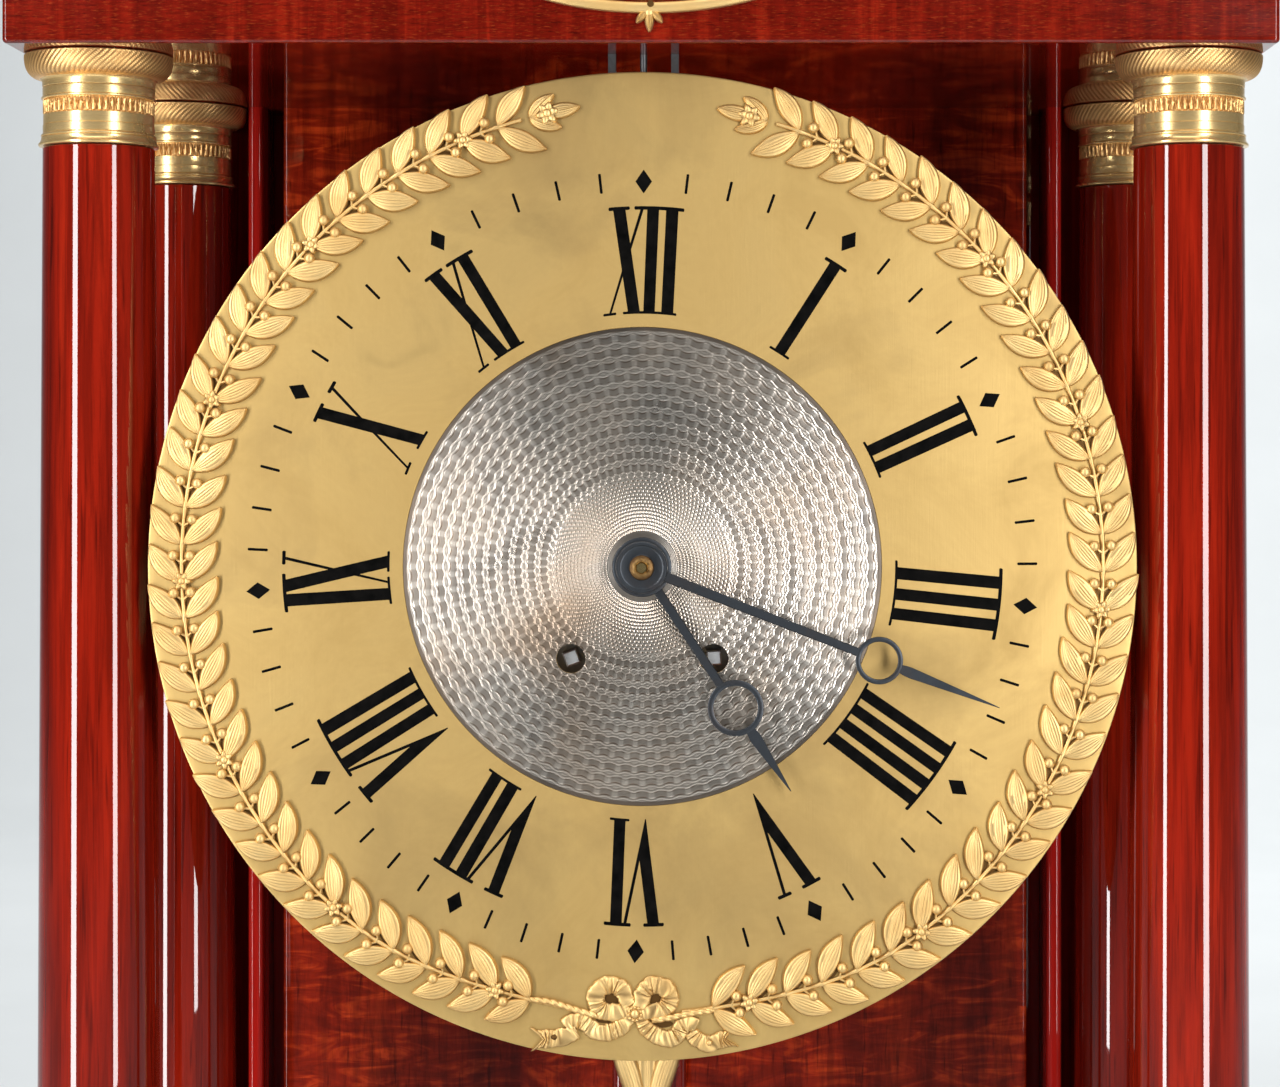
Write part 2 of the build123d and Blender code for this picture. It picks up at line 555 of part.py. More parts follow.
# ============================================================ motion work
with BuildPart() as cannon_pinion:
    with BuildSketch(at(HUB, -71.2)):
        with BuildLine():
            Polyline(*teeth(12, 0.5, 0.8, bearing(HUB, MINUTE) + pi / 12), close=True)
        make_face()
    extrude(amount=3.4)
    with BuildSketch(at(HUB, -71.2)):
        Circle(2.2)
    extrude(amount=-71.2 - (MIN_Y - HAND_T - 0.5))
    with BuildSketch(at(HUB, -71.2)):
        Circle(1.5 + SLACK)
    extrude(amount=40, mode=Mode.SUBTRACT)

with BuildPart() as minute_wheel:
    with BuildSketch(at(MINUTE, -72.0)):
        crossed_wheel(teeth(36, 0.5, 0.42, bearing(MINUTE, HUB), ded=0.8 * 0.5 + SLACK), 7.2, 3.4, 4, 1.5, 0)
    extrude(amount=1.8)
    with BuildSketch(at(MINUTE, -72.0)):
        with BuildLine():
            Polyline(*teeth(10, 0.48, 0.8, bearing(MINUTE, HUB) + pi / 10), close=True)
        make_face()
    extrude(amount=9.6)
    with BuildSketch(at(MINUTE, -71.0)):
        Circle(1.1 + SLACK)
    extrude(amount=20, mode=Mode.SUBTRACT)

with BuildPart() as hour_wheel:
    with BuildSketch(at(HUB, -78.8)):
        crossed_wheel(teeth(40, 0.48, 0.42, bearing(HUB, MINUTE), ded=0.8 * 0.48 + SLACK), 7.6, 4.4, 4, 1.5, 20)
    extrude(amount=1.6)
    with BuildSketch(at(HUB, -78.8)):
        Circle(3.6)
    extrude(amount=-78.8 - (HOUR_Y - HAND_T - 0.4))
    with BuildSketch(at(HUB, -78.0)):
        Circle(2.2 + 0.3)
    extrude(amount=20, mode=Mode.SUBTRACT)

# ============================================================ movement frame
with BuildPart() as front_plate:
    with BuildSketch(at(HUB, PLATE_Y)):
        Circle(PLATE_R)
        with Locations(HUB):
            Circle(1.5 + SLACK, mode=Mode.SUBTRACT)
        with Locations(SECOND, THIRD, ESCAPE, PALLETS, S2, PIN, WARN, FLY, HAMMER):
            Circle(0.8 + SLACK, mode=Mode.SUBTRACT)
        with Locations(GOING, STRIKE):
            Circle(2.5 + SLACK, mode=Mode.SUBTRACT)
        with Locations((-10, 48), (10, 48)):
            Circle(1.1, mode=Mode.SUBTRACT)
    extrude(amount=PLATE_T)
    # stud for the minute wheel
    with BuildSketch(at(MINUTE, FRONT_Y)):
        Circle(1.1)
    extrude(amount=12.2)

with BuildPart() as back_plate:
    with BuildSketch(at(HUB, REAR_Y)):
        Circle(PLATE_R)
        with Locations(HUB, SECOND, THIRD, ESCAPE, S2, PIN, WARN, FLY):
            Circle(0.8 + SLACK, mode=Mode.SUBTRACT)
        with Locations(GOING, STRIKE):
            Circle(1.6 + SLACK, mode=Mode.SUBTRACT)
        with Locations(PALLETS):
            Circle(4.0, mode=Mode.SUBTRACT)
        with Locations(HAMMER):
            Circle(1.3 + SLACK, mode=Mode.SUBTRACT)
    extrude(amount=PLATE_T)

with BuildPart() as plate_pillars:
    for p in PILLARS:
        with BuildSketch(at(p, BACK_Y)):
            Circle(3.4)
        extrude(amount=PLATE_GAP)

with BuildPart() as dust_band:
    with BuildSketch(at(HUB, BACK_Y)):
        Circle(59.0)
        Circle(58.2, mode=Mode.SUBTRACT)
    extrude(amount=PLATE_GAP)

HANG_TOP = Z_UNDER + ENT_FLOOR
with BuildPart() as movement_hanger:
    for s in (-1, 1):
        with BuildSketch(Plane.XY.offset(Z_D + 42)):
            with Locations((s * 10, FRONT_Y - 2.25)):
                Rectangle(2.4, 4.5)
        extrude(amount=HANG_TOP - (Z_D + 42))
        with BuildSketch(facing(s * 10, FRONT_Y, Z_D + 48)):
            RectangleRounded(8, 12, 2)
            Circle(1.1, mode=Mode.SUBTRACT)
        extrude(amount=1.5)
    with BuildSketch(Plane.XY.offset(HANG_TOP)):
        with Locations((0, FRONT_Y - 2.25)):
            Rectangle(56, 16)
            with GridLocations(46, 0, 2, 1):
                Circle(2.2, mode=Mode.SUBTRACT)
            Circle(1.4, mode=Mode.SUBTRACT)
    extrude(amount=3)

# ============================================================ barrels and winding
BARREL_R, BARREL_T0, BARREL_T1 = 19.2, 3.0, 26.0


def barrel(p, mate, flip):
    with BuildPart() as made:
        with BuildSketch(at(p, PLATE_Y + BARREL_T1)):
            Circle(BARREL_R)
        extrude(amount=BARREL_T1 - BARREL_T0)
        with BuildSketch(at(p, PLATE_Y + 25.0)):
            with BuildLine():
                Polyline(*teeth(N_BARREL, M_BARREL, 0.42, bearing(p, mate), ded=0.8 * M_BARREL + SLACK), close=True)
            make_face()
        extrude(amount=3.0)
        with BuildSketch(at(p, PLATE_Y + BARREL_T1 - 1.5)):
            Circle(BARREL_R - 1.3)
        extrude(amount=BARREL_T1 - BARREL_T0 - 3.0, mode=Mode.SUBTRACT)
        with BuildSketch(at(p, PLATE_Y + BARREL_T1 + 1)):
            Circle(2.5 + SLACK)
        extrude(amount=30, mode=Mode.SUBTRACT)
    return made


going_barrel = barrel(GOING, SECOND, 1)
strike_barrel = barrel(STRIKE, S2, -1)


def mainspring(p, flip):
    """A coiled flat spring between the arbor's core and the barrel's wall."""
    turns, r0, r1, thick, n = 8.5, 4.7, 17.1, 0.45, 150
    pts = []
    for edge in (0, 1):
        row = []
        for i in range(n + 1):
            a = 2 * pi * turns * i / n
            r = r0 + (r1 - r0) * i / n + thick * edge
            row.append((flip * r * cos(a), r * sin(a)))
        pts += row if edge == 0 else row[::-1]
    with BuildPart() as made:
        with BuildSketch(at(p, PLATE_Y + BARREL_T1 - 2.2)):
            with BuildLine():
                Polyline(*pts, close=True)
            make_face()
        extrude(amount=BARREL_T1 - BARREL_T0 - 4.4)
    return made


going_mainspring = mainspring(GOING, 1)
strike_mainspring = mainspring(STRIKE, -1)

RATCHET_N, RATCHET_R = 24, 8.0
RATCHET_Y0, RATCHET_Y1 = -73.0, -71.0


def ratchet(flip):
    pts = []
    for i in range(RATCHET_N):
        a = 2 * pi * i / RATCHET_N
        b = 2 * pi * (i + 0.94) / RATCHET_N
        pts += [(flip * RATCHET_R * cos(a), RATCHET_R * sin(a)), (flip * (RATCHET_R - 1.4) * cos(b), (RATCHET_R - 1.4) * sin(b))]
    return pts


WIND_END = -82.4                          # tip of the winding square, inside the dial's hole


def winding_arbor(p, flip, turn):
    with BuildPart() as made:
        with BuildSketch(at(p, PLATE_Y + PLATE_GAP - 0.4)):
            Circle(2.5)
        extrude(amount=PLATE_Y + PLATE_GAP - 0.4 - (FRONT_Y - 3.0))
        with BuildSketch(at(p, REAR_Y)):
            Circle(1.6)
        extrude(amount=6)
        with BuildSketch(at(p, PLATE_Y + BARREL_T1 - 2.2)):
            Circle(4.2)
        extrude(amount=BARREL_T1 - BARREL_T0 - 4.4)
        with BuildSketch(at(p, RATCHET_Y1)):
            with BuildLine():
                Polyline(*ratchet(flip), close=True)
            make_face()
        extrude(amount=RATCHET_Y1 - RATCHET_Y0)
        with BuildSketch(at(p, FRONT_Y - 2.0)):
            Rectangle(4.7, 4.7, rotation=turn)
        extrude(amount=FRONT_Y - 2.0 - WIND_END)
        chamfer(made.faces().sort_by(Axis.Y)[0].edges(), 0.5)
    return made


going_winding_arbor = winding_arbor(GOING, -1, 4)
strike_winding_arbor = winding_arbor(STRIKE, 1, 20)

CLICK = (11.7, 9.2)                       # click pivot from the winding arbor


def click(p, s):
    with BuildPart() as made:
        with BuildSketch(at(p, RATCHET_Y1)):
            with BuildLine():
                Polyline((s * 8.7, 0.6), (s * 10.6, -0.6), (s * 13.6, 6.0), (s * 14.0, 10.0), (s * 11.9, 11.9), (s * 9.6, 10.4), (s * 9.3, 7.0), close=True)
            make_face()
            with Locations((s * CLICK[0], CLICK[1])):
                Circle(1.0 + SLACK, mode=Mode.SUBTRACT)
        extrude(amount=RATCHET_Y1 - RATCHET_Y0)
    return made


going_click = click(GOING, 1)
strike_click = click(STRIKE, -1)

with BuildPart() as movement_screws:
    for s in (-1, 1):
        with BuildSketch(Plane.XY.offset(Z_UNDER + 3)):
            with Locations((s * 23, FRONT_Y - 2.25)):
                Circle(1.2)
        extrude(amount=9 + 3)
        with BuildSketch(Plane.XY.offset(HANG_TOP + 3)):
            with Locations((s * 23, FRONT_Y - 2.25)):
                Circle(3.6)
        extrude(amount=2)
    # centre bolt from the movement to the hanger's plate
    with BuildSketch(Plane.XY.offset(Z_D + PLATE_R + 0.4)):
        with Locations((0, FRONT_Y - 2.25)):
            Circle(1.1)
    extrude(amount=HANG_TOP + 8 - (Z_D + PLATE_R + 0.4))
    with BuildSketch(Plane.XY.offset(HANG_TOP + 3)):
        with Locations((0, FRONT_Y - 2.25)):
            RegularPolygon(3.6, 6)
            Circle(1.1, mode=Mode.SUBTRACT)
    extrude(amount=3)
    # shouldered screws of the two clicks
    for s, p in ((1, GOING), (-1, STRIKE)):
        with BuildSketch(at((p[0] + s * CLICK[0], p[1] + CLICK[1]), FRONT_Y)):
            Circle(1.0)
        extrude(amount=4.4)
        with BuildSketch(at((p[0] + s * CLICK[0], p[1] + CLICK[1]), RATCHET_Y0 - 0.3)):
            Circle(2.0)
        extrude(amount=1.6)

# ============================================================ going train
going_second_wheel = arbor(
    SECOND,
    (teeth(N_SECOND, M_SECOND, 0.42, bearing(SECOND, HUB), ded=0.8 * M_SECOND + SLACK), 30.0, 31.5),
    (teeth(8, M_BARREL, 0.8, bearing(SECOND, GOING) + pi / 8), 21.0, 26.0), 15.4, 3.0, 4)

with BuildPart() as centre_wheel:
    with BuildSketch(at(HUB, BACK_Y - 0.4)):
        Circle(1.5)
    extrude(amount=BACK_Y - 0.4 - (MIN_Y - HAND_T - 3.0))
    with BuildSketch(at(HUB, REAR_Y)):
        Circle(0.8)
    extrude(amount=6)
    with BuildSketch(at(HUB, PLATE_Y + 37.5)):
        crossed_wheel(teeth(N_CENTRE, M_CENTRE, 0.42, bearing(HUB, THIRD), ded=0.8 * M_CENTRE + SLACK), 15.4, 3.4, 4, 2.0, 20)
    extrude(amount=1.5)
    with BuildSketch(at(HUB, PLATE_Y + 33.0)):
        with BuildLine():
            Polyline(*teeth(8, M_SECOND, 0.8, bearing(HUB, SECOND) + pi / 8), close=True)
        make_face()
    extrude(amount=4.5)

third_wheel = arbor(
    THIRD,
    (teeth(N_THIRD, M_THIRD, 0.42, bearing(THIRD, ESCAPE), ded=0.8 * M_THIRD + SLACK), 14.0, 15.5),
    (teeth(7, M_CENTRE, 0.8, bearing(THIRD, HUB) + pi / 7), 35.0, 38.5), 13.8, 3.0, 4, shaft=1.0)

escape_outline = []
for i in range(N_ESCAPE):
    c = 2 * pi * i / N_ESCAPE
    for r, da in ((10.4, 0.0), (ESCAPE_R, 0.5), (ESCAPE_R, 1.6), (11.4, 4.2), (10.4, 7.0)):
        escape_outline.append((r * cos(c + radians(da)), r * sin(c + radians(da))))
escape_wheel = arbor(
    ESCAPE,
    (escape_outline, 7.0, 8.3),
    (teeth(7, M_THIRD, 0.8, bearing(ESCAPE, THIRD) + pi / 7), 13.0, 16.5), 9.0, 2.8, 4, shaft=0.9)

COCK_Y0, COCK_Y1 = -15.5, -12.5
with BuildPart() as pallet_anchor:
    with BuildSketch(at(PALLETS, COCK_Y0 - 0.4)):
        Circle(1.2)
    extrude(amount=COCK_Y0 - 0.4 - (PLATE_Y + 0.4))
    with BuildSketch(at(PALLETS, COCK_Y1)):
        Circle(0.8)
    extrude(amount=COCK_Y1 - FRONT_Y)
    with BuildSketch(at(PALLETS, PLATE_Y + 9.4)):
        half = [(13.2, -12.6), (13.0, -6.0), (8.0, 0.0), (3.0, 3.2)]
        inner = [(10.9, -10.6), (10.2, -9.2), (7.0, -4.0), (2.4, -2.6)]
        with BuildLine():
            Polyline(*[(-x, z) for x, z in half], *half[::-1], *inner, *[(-x, z) for x, z in inner[::-1]], close=True)
        make_face()
    extrude(amount=3.4)

CRUTCH_Z = 2.0                            # crutch pin above the dial centre
with BuildPart() as crutch:
    with BuildSketch(at(PALLETS, -18.2)):
        Circle(3.6)
        with Locations((0, (CRUTCH_Z - ANCHOR_Z) / 2)):
            Rectangle(3.0, ANCHOR_Z - CRUTCH_Z)
        with Locations((0, CRUTCH_Z - ANCHOR_Z)):
            Circle(2.6)
        Circle(1.25, mode=Mode.SUBTRACT)
    extrude(amount=1.8)
    with BuildSketch(at((0, CRUTCH_Z), PENDULUM_Y + 5.5)):
        Circle(1.4)
    extrude(amount=PENDULUM_Y + 5.5 + 18.2)

# ============================================================ suspension and pendulum
with BuildPart() as suspension_cock:
    with BuildSketch(Plane.XY.offset(Z_D + 38)):
        with Locations((-17.5, (REAR_Y + COCK_Y0) / 2), (17.5, (REAR_Y + COCK_Y0) / 2)):
            Rectangle(5, COCK_Y0 - REAR_Y)
    extrude(amount=14)
    with BuildSketch(facing(0, COCK_Y1, Z_D + 46)):
        RectangleRounded(40, 16, 3)
        with Locations((0, ANCHOR_Z - 46)):
            Circle(0.8 + SLACK, mode=Mode.SUBTRACT)
    extrude(amount=COCK_Y1 - COCK_Y0)
    with BuildSketch(Plane.XY.offset(Z_D + 46.5)):
        with Locations((-3.2, (COCK_Y1 - 3.0) / 2), (3.2, (COCK_Y1 - 3.0) / 2)):
            Rectangle(3.8, -3.0 - COCK_Y1)
    extrude(amount=7.5)
    with BuildSketch(Plane.XY.offset(Z_D + 52.0)):
        with Locations((0, (COCK_Y1 - 3.0) / 2)):
            Rectangle(10.2, -3.0 - COCK_Y1)
    extrude(amount=2.0)

ROD_TOP, BOB_Z, BOB_R = 24.0, ANCHOR_Z - PENDULUM_L, 42.0
with BuildPart() as suspension_spring:
    with BuildSketch(Plane.XY.offset(Z_D + ROD_TOP - 2)):
        with Locations((0, PENDULUM_Y)):
            Rectangle(0.3, 8)
    extrude(amount=51.0 - ROD_TOP + 2)
    with BuildSketch(Plane.XY.offset(Z_D + ROD_TOP)):
        with Locations((0, PENDULUM_Y)):
            Rectangle(7, 9)
    extrude(amount=6)
    with BuildSketch(Plane.XY.offset(Z_D + 47.5)):
        with Locations((0, PENDULUM_Y + 0.4)):
            Rectangle(1.4, 7.6)
    extrude(amount=3.6)

ROD_W, ROD_T = 25.0, 8.0
ROD_END = BOB_Z + BOB_R + 2.0
with BuildPart() as pendulum_rod:
    with BuildSketch(Plane.XY.offset(Z_D + ROD_END)):
        with Locations((0, PENDULUM_Y)):
            RectangleRounded(ROD_W, ROD_T, 3.2)
    extrude(amount=ROD_TOP - ROD_END)
    with BuildSketch(facing(0, PENDULUM_Y + 10, Z_D + CRUTCH_Z)):
        SlotOverall(9, 3.6, rotation=90)
    extrude(amount=20, mode=Mode.SUBTRACT)
    with BuildSketch(Plane.XY.offset(Z_D + ROD_TOP - 3)):
        with Locations((0, PENDULUM_Y)):
            Rectangle(0.4, 8.2)
    extrude(amount=4, mode=Mode.SUBTRACT)
    with BuildSketch(Plane.XY.offset(Z_D + ROD_END)):
        with Locations((0, PENDULUM_Y)):
            Circle(2.05)
    extrude(amount=12, mode=Mode.SUBTRACT)

LEAF_Z0, LEAF_Z1 = -206.0, -142.0
with BuildPart() as pendulum_leaf:
    with BuildSketch(facing(0, PENDULUM_Y - ROD_T / 2, Z_D)):
        with BuildLine():
            Spline((0, LEAF_Z0), (5.2, -192.0), (8.0, -181.0), (11.6, -171.0), (11.0, -156.0), (4.0, LEAF_Z1))
            Line((4.0, LEAF_Z1), (-4.0, LEAF_Z1))
            Spline((-4.0, LEAF_Z1), (-11.0, -156.0), (-11.6, -171.0), (-8.0, -181.0), (-5.2, -192.0), (0, LEAF_Z0))
        make_face()
    extrude(amount=3.0)

with BuildPart() as pendulum_bob:
    with BuildSketch(Plane.XY.offset(Z_D + BOB_Z)):
        with BuildLine():
            Line((0, PENDULUM_Y - 11), (4, PENDULUM_Y - 11))
            ThreePointArc((4, PENDULUM_Y - 11), (25, PENDULUM_Y - 8.0), (BOB_R, PENDULUM_Y - 2.4))
            Line((BOB_R, PENDULUM_Y - 2.4), (BOB_R, PENDULUM_Y + 2.4))
            ThreePointArc((BOB_R, PENDULUM_Y + 2.4), (25, PENDULUM_Y + 8.0), (4, PENDULUM_Y + 11))
            Line((4, PENDULUM_Y + 11), (0, PENDULUM_Y + 11))
            Line((0, PENDULUM_Y + 11), (0, PENDULUM_Y - 11))
        make_face()
    revolve(axis=Axis((0, 0, Z_D + BOB_Z), (0, 1, 0)))
    with BuildSketch(Plane.XY.offset(Z_D + BOB_Z - BOB_R - 2)):
        with Locations((0, PENDULUM_Y)):
            Circle(2.1)
    extrude(amount=2 * BOB_R + 4, mode=Mode.SUBTRACT)

with BuildPart() as pendulum_tail_rod:
    with BuildSketch(Plane.XY.offset(Z_D + BOB_Z - BOB_R - 14)):
        with Locations((0, PENDULUM_Y)):
            Circle(2.0)
    extrude(amount=ROD_END + 12 - (BOB_Z - BOB_R - 14))

with BuildPart() as rating_nut:
    with BuildSketch(Plane.XY.offset(Z_D + BOB_Z - BOB_R - 8.5)):
        with Locations((0, PENDULUM_Y)):
            Circle(8.0)
            Circle(2.0 + SLACK, mode=Mode.SUBTRACT)
    extrude(amount=5)
    with BuildSketch(Plane.XY.offset(Z_D + BOB_Z - BOB_R - 3.5)):
        with Locations((0, PENDULUM_Y)):
            Circle(4.0)
            Circle(2.0 + SLACK, mode=Mode.SUBTRACT)
    extrude(amount=3)

# ============================================================ strike train
strike_second_wheel = arbor(
    S2,
    (teeth(N_S2, M_S2, 0.42, bearing(S2, PIN), ded=0.8 * M_S2 + SLACK), 33.0, 34.5),
    (teeth(10, M_BARREL, 0.8, bearing(S2, STRIKE) + pi / 10), 21.0, 26.0), 13.6, 3.2, 4, shaft=1.4, back=5.0)

count_outline = []
blows, turn_at = sum(range(1, 13)) + 12, 0
for hour in range(1, 13):
    span = hour + 1
    a0, a1 = 2 * pi * turn_at / blows, 2 * pi * (turn_at + span) / blows
    n = max(2, int(degrees(a1 - a0) / 6))
    for i in range(n + 1):
        a = a0 + radians(1.6) + (a1 - a0 - radians(3.2)) * i / n
        count_outline.append((16.0 * cos(a), 16.0 * sin(a)))
    count_outline += [(13.4 * cos(a1 - radians(1.4)), 13.4 * sin(a1 - radians(1.4))), (13.4 * cos(a1 + radians(1.4)), 13.4 * sin(a1 + radians(1.4)))]
    turn_at += span
with BuildPart() as count_wheel:
    with BuildSketch(at(S2, -17.6)):
        with BuildLine():
            Polyline(*count_outline, close=True)
        make_face()
        with PolarLocations(7.8, 4):
            Circle(2.9, mode=Mode.SUBTRACT)
        Circle(0.85, mode=Mode.SUBTRACT)
    extrude(amount=1.8)

pin_wheel = arbor(
    PIN,
    (teeth(N_PIN, M_PIN, 0.42, bearing(PIN, WARN), ded=0.8 * M_PIN + SLACK), 27.0, 28.5),
    (teeth(8, M_S2, 0.8, bearing(PIN, S2) + pi / 8), 32.0, 35.5), 10.3, 2.8, 4, shaft=1.0)
with pin_wheel:
    with BuildSketch(at(PIN, PLATE_Y + 31.2)) as lifting_pins:
        with PolarLocations(10.75, 10):
            Circle(0.45)
    extrude(lifting_pins.sketch, amount=3.2)

warning_wheel = arbor(
    WARN,
    (teeth(N_WARN, M_WARN, 0.42, bearing(WARN, FLY), ded=0.8 * M_WARN + SLACK), 20.0, 21.3),
    (teeth(7, M_PIN, 0.8, bearing(WARN, PIN) + pi / 7), 26.0, 29.5), 7.6, 2.6, 4, shaft=0.9)

with BuildPart() as fly:
    with BuildSketch(at(FLY, BACK_Y - 0.4)):
        Circle(0.85)
    extrude(amount=PLATE_GAP - 0.8)
    with BuildSketch(at(FLY, REAR_Y)):
        Circle(0.8)
    extrude(amount=PLATE_GAP + 2 * PLATE_T)
    with BuildSketch(at(FLY, PLATE_Y + 22.4)):
        with BuildLine():
            Polyline(*teeth(7, M_WARN, 0.8, bearing(FLY, WARN) + pi / 7), close=True)
        make_face()
    extrude(amount=3.4)
    with BuildSketch(at(FLY, PLATE_Y + 42)):
        Rectangle(12.6, 0.6, rotation=30)
        Circle(1.5)
    extrude(amount=12.4)

BELL_Z, BELL_R = 10.0, 34.0
with BuildPart() as hammer:
    with BuildSketch(at(HAMMER, 11.0)):
        Circle(1.3)
    extrude(amount=11.0 - (PLATE_Y + 0.4))
    with BuildSketch(at(HAMMER, PLATE_Y + 2)):
        Circle(0.8)
    extrude(amount=PLATE_T + 2)
    # lifting tail, just short of the pins
    tail = bearing(HAMMER, PIN)
    reach = hypot(PIN[0] - HAMMER[0], PIN[1] - HAMMER[1]) - 10.75 - 0.45 - 0.8
    with BuildSketch(Plane(origin=(HAMMER[0], PLATE_Y + 31.0, Z_D + HAMMER[1]), x_dir=(cos(tail), 0, sin(tail)), z_dir=(0, -1, 0))):
        with BuildLine():
            Polyline((0, -2.4), (reach, -0.7), (reach, 0.7), (0, 2.4), close=True)
        make_face()
    extrude(amount=1.5)
    with BuildSketch(at(HAMMER, 11.0)):
        Circle(3.0)
        with BuildLine():
            Polyline((-1.6, 0), (1.6, 0), (4.2, 24.0), (1.8, 24.0), close=True)
        make_face()
    extrude(amount=2.4)
    with BuildSketch(Plane(origin=(-45.5, 9.8, Z_D + BELL_Z), x_dir=(0, 1, 0), z_dir=(1, 0, 0))):
        Circle(4.6)
    extrude(amount=10.0)

with BuildPart() as bell:
    with BuildSketch(Plane.XY.offset(Z_D + BELL_Z)):
        with BuildLine():
            Line((2.6, 24.0), (9.0, 24.0))
            ThreePointArc((9.0, 24.0), (27.6, 18.6), (BELL_R, 6.0))
            Line((BELL_R, 6.0), (BELL_R - 2.2, 6.0))
            ThreePointArc((BELL_R - 2.2, 6.0), (25.9, 17.0), (9.0, 22.0))
            Polyline((9.0, 22.0), (2.6, 22.0), (2.6, 24.0))
        make_face()
    revolve(axis=Axis((0, 0, Z_D + BELL_Z), (0, 1, 0)))

POST = (44.0, -6.0)
with BuildPart() as bell_stand:
    with BuildSketch(at(POST, 28.0)):
        Circle(3.0)
    extrude(amount=28.0 - REAR_Y)
    dx, dz = -POST[0], BELL_Z - POST[1]
    with BuildSketch(Plane(origin=(POST[0], 28.0, Z_D + POST[1]), x_dir=(dx / hypot(dx, dz), 0, dz / hypot(dx, dz)), z_dir=(0, -1, 0))):
        with Locations((hypot(dx, dz) / 2, 0)):
            SlotOverall(hypot(dx, dz) + 9, 9)
    extrude(amount=2.6)
    with BuildSketch(at((0, BELL_Z), 25.5)):
        Circle(2.4)
    extrude(amount=6.1)
    with BuildSketch(at((0, BELL_Z), 21.9)):
        Circle(4.6)
    extrude(amount=2.5)

# ============================================================ write the pieces
PIECES = {
    "bun_feet": bun_feet, "base_moulding": base_moulding, "plinth_block": plinth_block, "plinth_slab": plinth_slab,
    "columns": columns, "column_bases": column_bases, "column_capitals": column_capitals, "column_tie_rods": column_tie_rods,
    "entablature_box": entablature_box, "entablature_cap": entablature_cap, "frieze_mount": frieze_mount,
    "back_frame": back_frame, "back_panel": back_panel,
    "dial_plate": dial_plate, "dial_centre": dial_centre, "chapter_inlay": chapter_inlay,
    "laurel_branches": laurel_branches, "ribbon_bow": ribbon_bow, "dial_feet": dial_feet,
    "hour_hand": hour_hand, "minute_hand": minute_hand, "hand_collet": hand_collet,
    "cannon_pinion": cannon_pinion, "minute_wheel": minute_wheel, "hour_wheel": hour_wheel,
    "front_plate": front_plate, "back_plate": back_plate, "plate_pillars": plate_pillars, "dust_band": dust_band,
    "movement_hanger": movement_hanger, "movement_screws": movement_screws,
    "going_barrel": going_barrel, "going_mainspring": going_mainspring, "going_winding_arbor": going_winding_arbor,
    "strike_barrel": strike_barrel, "strike_mainspring": strike_mainspring, "strike_winding_arbor": strike_winding_arbor,
    "going_click": going_click, "strike_click": strike_click, "going_second_wheel": going_second_wheel, "centre_wheel": centre_wheel,
    "third_wheel": third_wheel, "escape_wheel": escape_wheel, "pallet_anchor": pallet_anchor, "crutch": crutch,
    "suspension_cock": suspension_cock, "suspension_spring": suspension_spring, "pendulum_rod": pendulum_rod,
    "pendulum_leaf": pendulum_leaf, "pendulum_bob": pendulum_bob, "pendulum_tail_rod": pendulum_tail_rod, "rating_nut": rating_nut,
    "strike_second_wheel": strike_second_wheel, "count_wheel": count_wheel, "pin_wheel": pin_wheel,
    "warning_wheel": warning_wheel, "fly": fly, "hammer": hammer, "bell": bell, "bell_stand": bell_stand,
}
for label, piece in PIECES.items():
    piece.part.label = label
    export_step(piece.part, f"parts/{label}.step")
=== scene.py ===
import json
import math
import random

import bmesh
import bpy
import numpy as np
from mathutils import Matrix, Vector
from mathutils.geometry import tessellate_polygon

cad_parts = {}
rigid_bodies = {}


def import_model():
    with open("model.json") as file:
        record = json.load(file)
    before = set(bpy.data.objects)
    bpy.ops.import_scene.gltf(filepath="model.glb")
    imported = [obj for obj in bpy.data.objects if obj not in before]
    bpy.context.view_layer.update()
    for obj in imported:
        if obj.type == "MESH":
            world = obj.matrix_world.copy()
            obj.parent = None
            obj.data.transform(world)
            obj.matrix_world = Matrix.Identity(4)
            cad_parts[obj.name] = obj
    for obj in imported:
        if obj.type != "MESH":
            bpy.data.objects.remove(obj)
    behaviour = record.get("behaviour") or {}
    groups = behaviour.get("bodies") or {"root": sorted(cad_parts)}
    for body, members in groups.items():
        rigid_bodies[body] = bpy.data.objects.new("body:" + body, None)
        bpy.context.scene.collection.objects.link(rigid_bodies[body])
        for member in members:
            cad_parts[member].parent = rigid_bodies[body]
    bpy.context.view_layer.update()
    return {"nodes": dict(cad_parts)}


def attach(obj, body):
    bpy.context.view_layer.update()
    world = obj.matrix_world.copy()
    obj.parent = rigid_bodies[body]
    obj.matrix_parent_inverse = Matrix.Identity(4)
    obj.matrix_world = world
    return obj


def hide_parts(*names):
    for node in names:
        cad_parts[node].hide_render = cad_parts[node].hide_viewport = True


for old in list(bpy.data.objects):
    bpy.data.objects.remove(old, do_unlink=True)

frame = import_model()
NODES = frame["nodes"]
random.seed(7)

MM = 0.001
DIAL_Y, DIAL_Z = -86.0, 463.0            # front face and centre of the dial, mm
Z_FLOOR, Z_UNDER = 108.0, 625.0          # the columns stand between these
COLUMNS = [(sx * 173.8, sy * 70.0) for sx in (-1, 1) for sy in (-1, 1)]


# ------------------------------------------------------------------ materials
def material(name):
    m = bpy.data.materials.new(name)
    m.use_nodes = True
    nt = m.node_tree
    nt.nodes.clear()
    out = nt.nodes.new("ShaderNodeOutputMaterial")
    bsdf = nt.nodes.new("ShaderNodeBsdfPrincipled")
    nt.links.new(bsdf.outputs["BSDF"], out.inputs["Surface"])
    return m, nt, bsdf


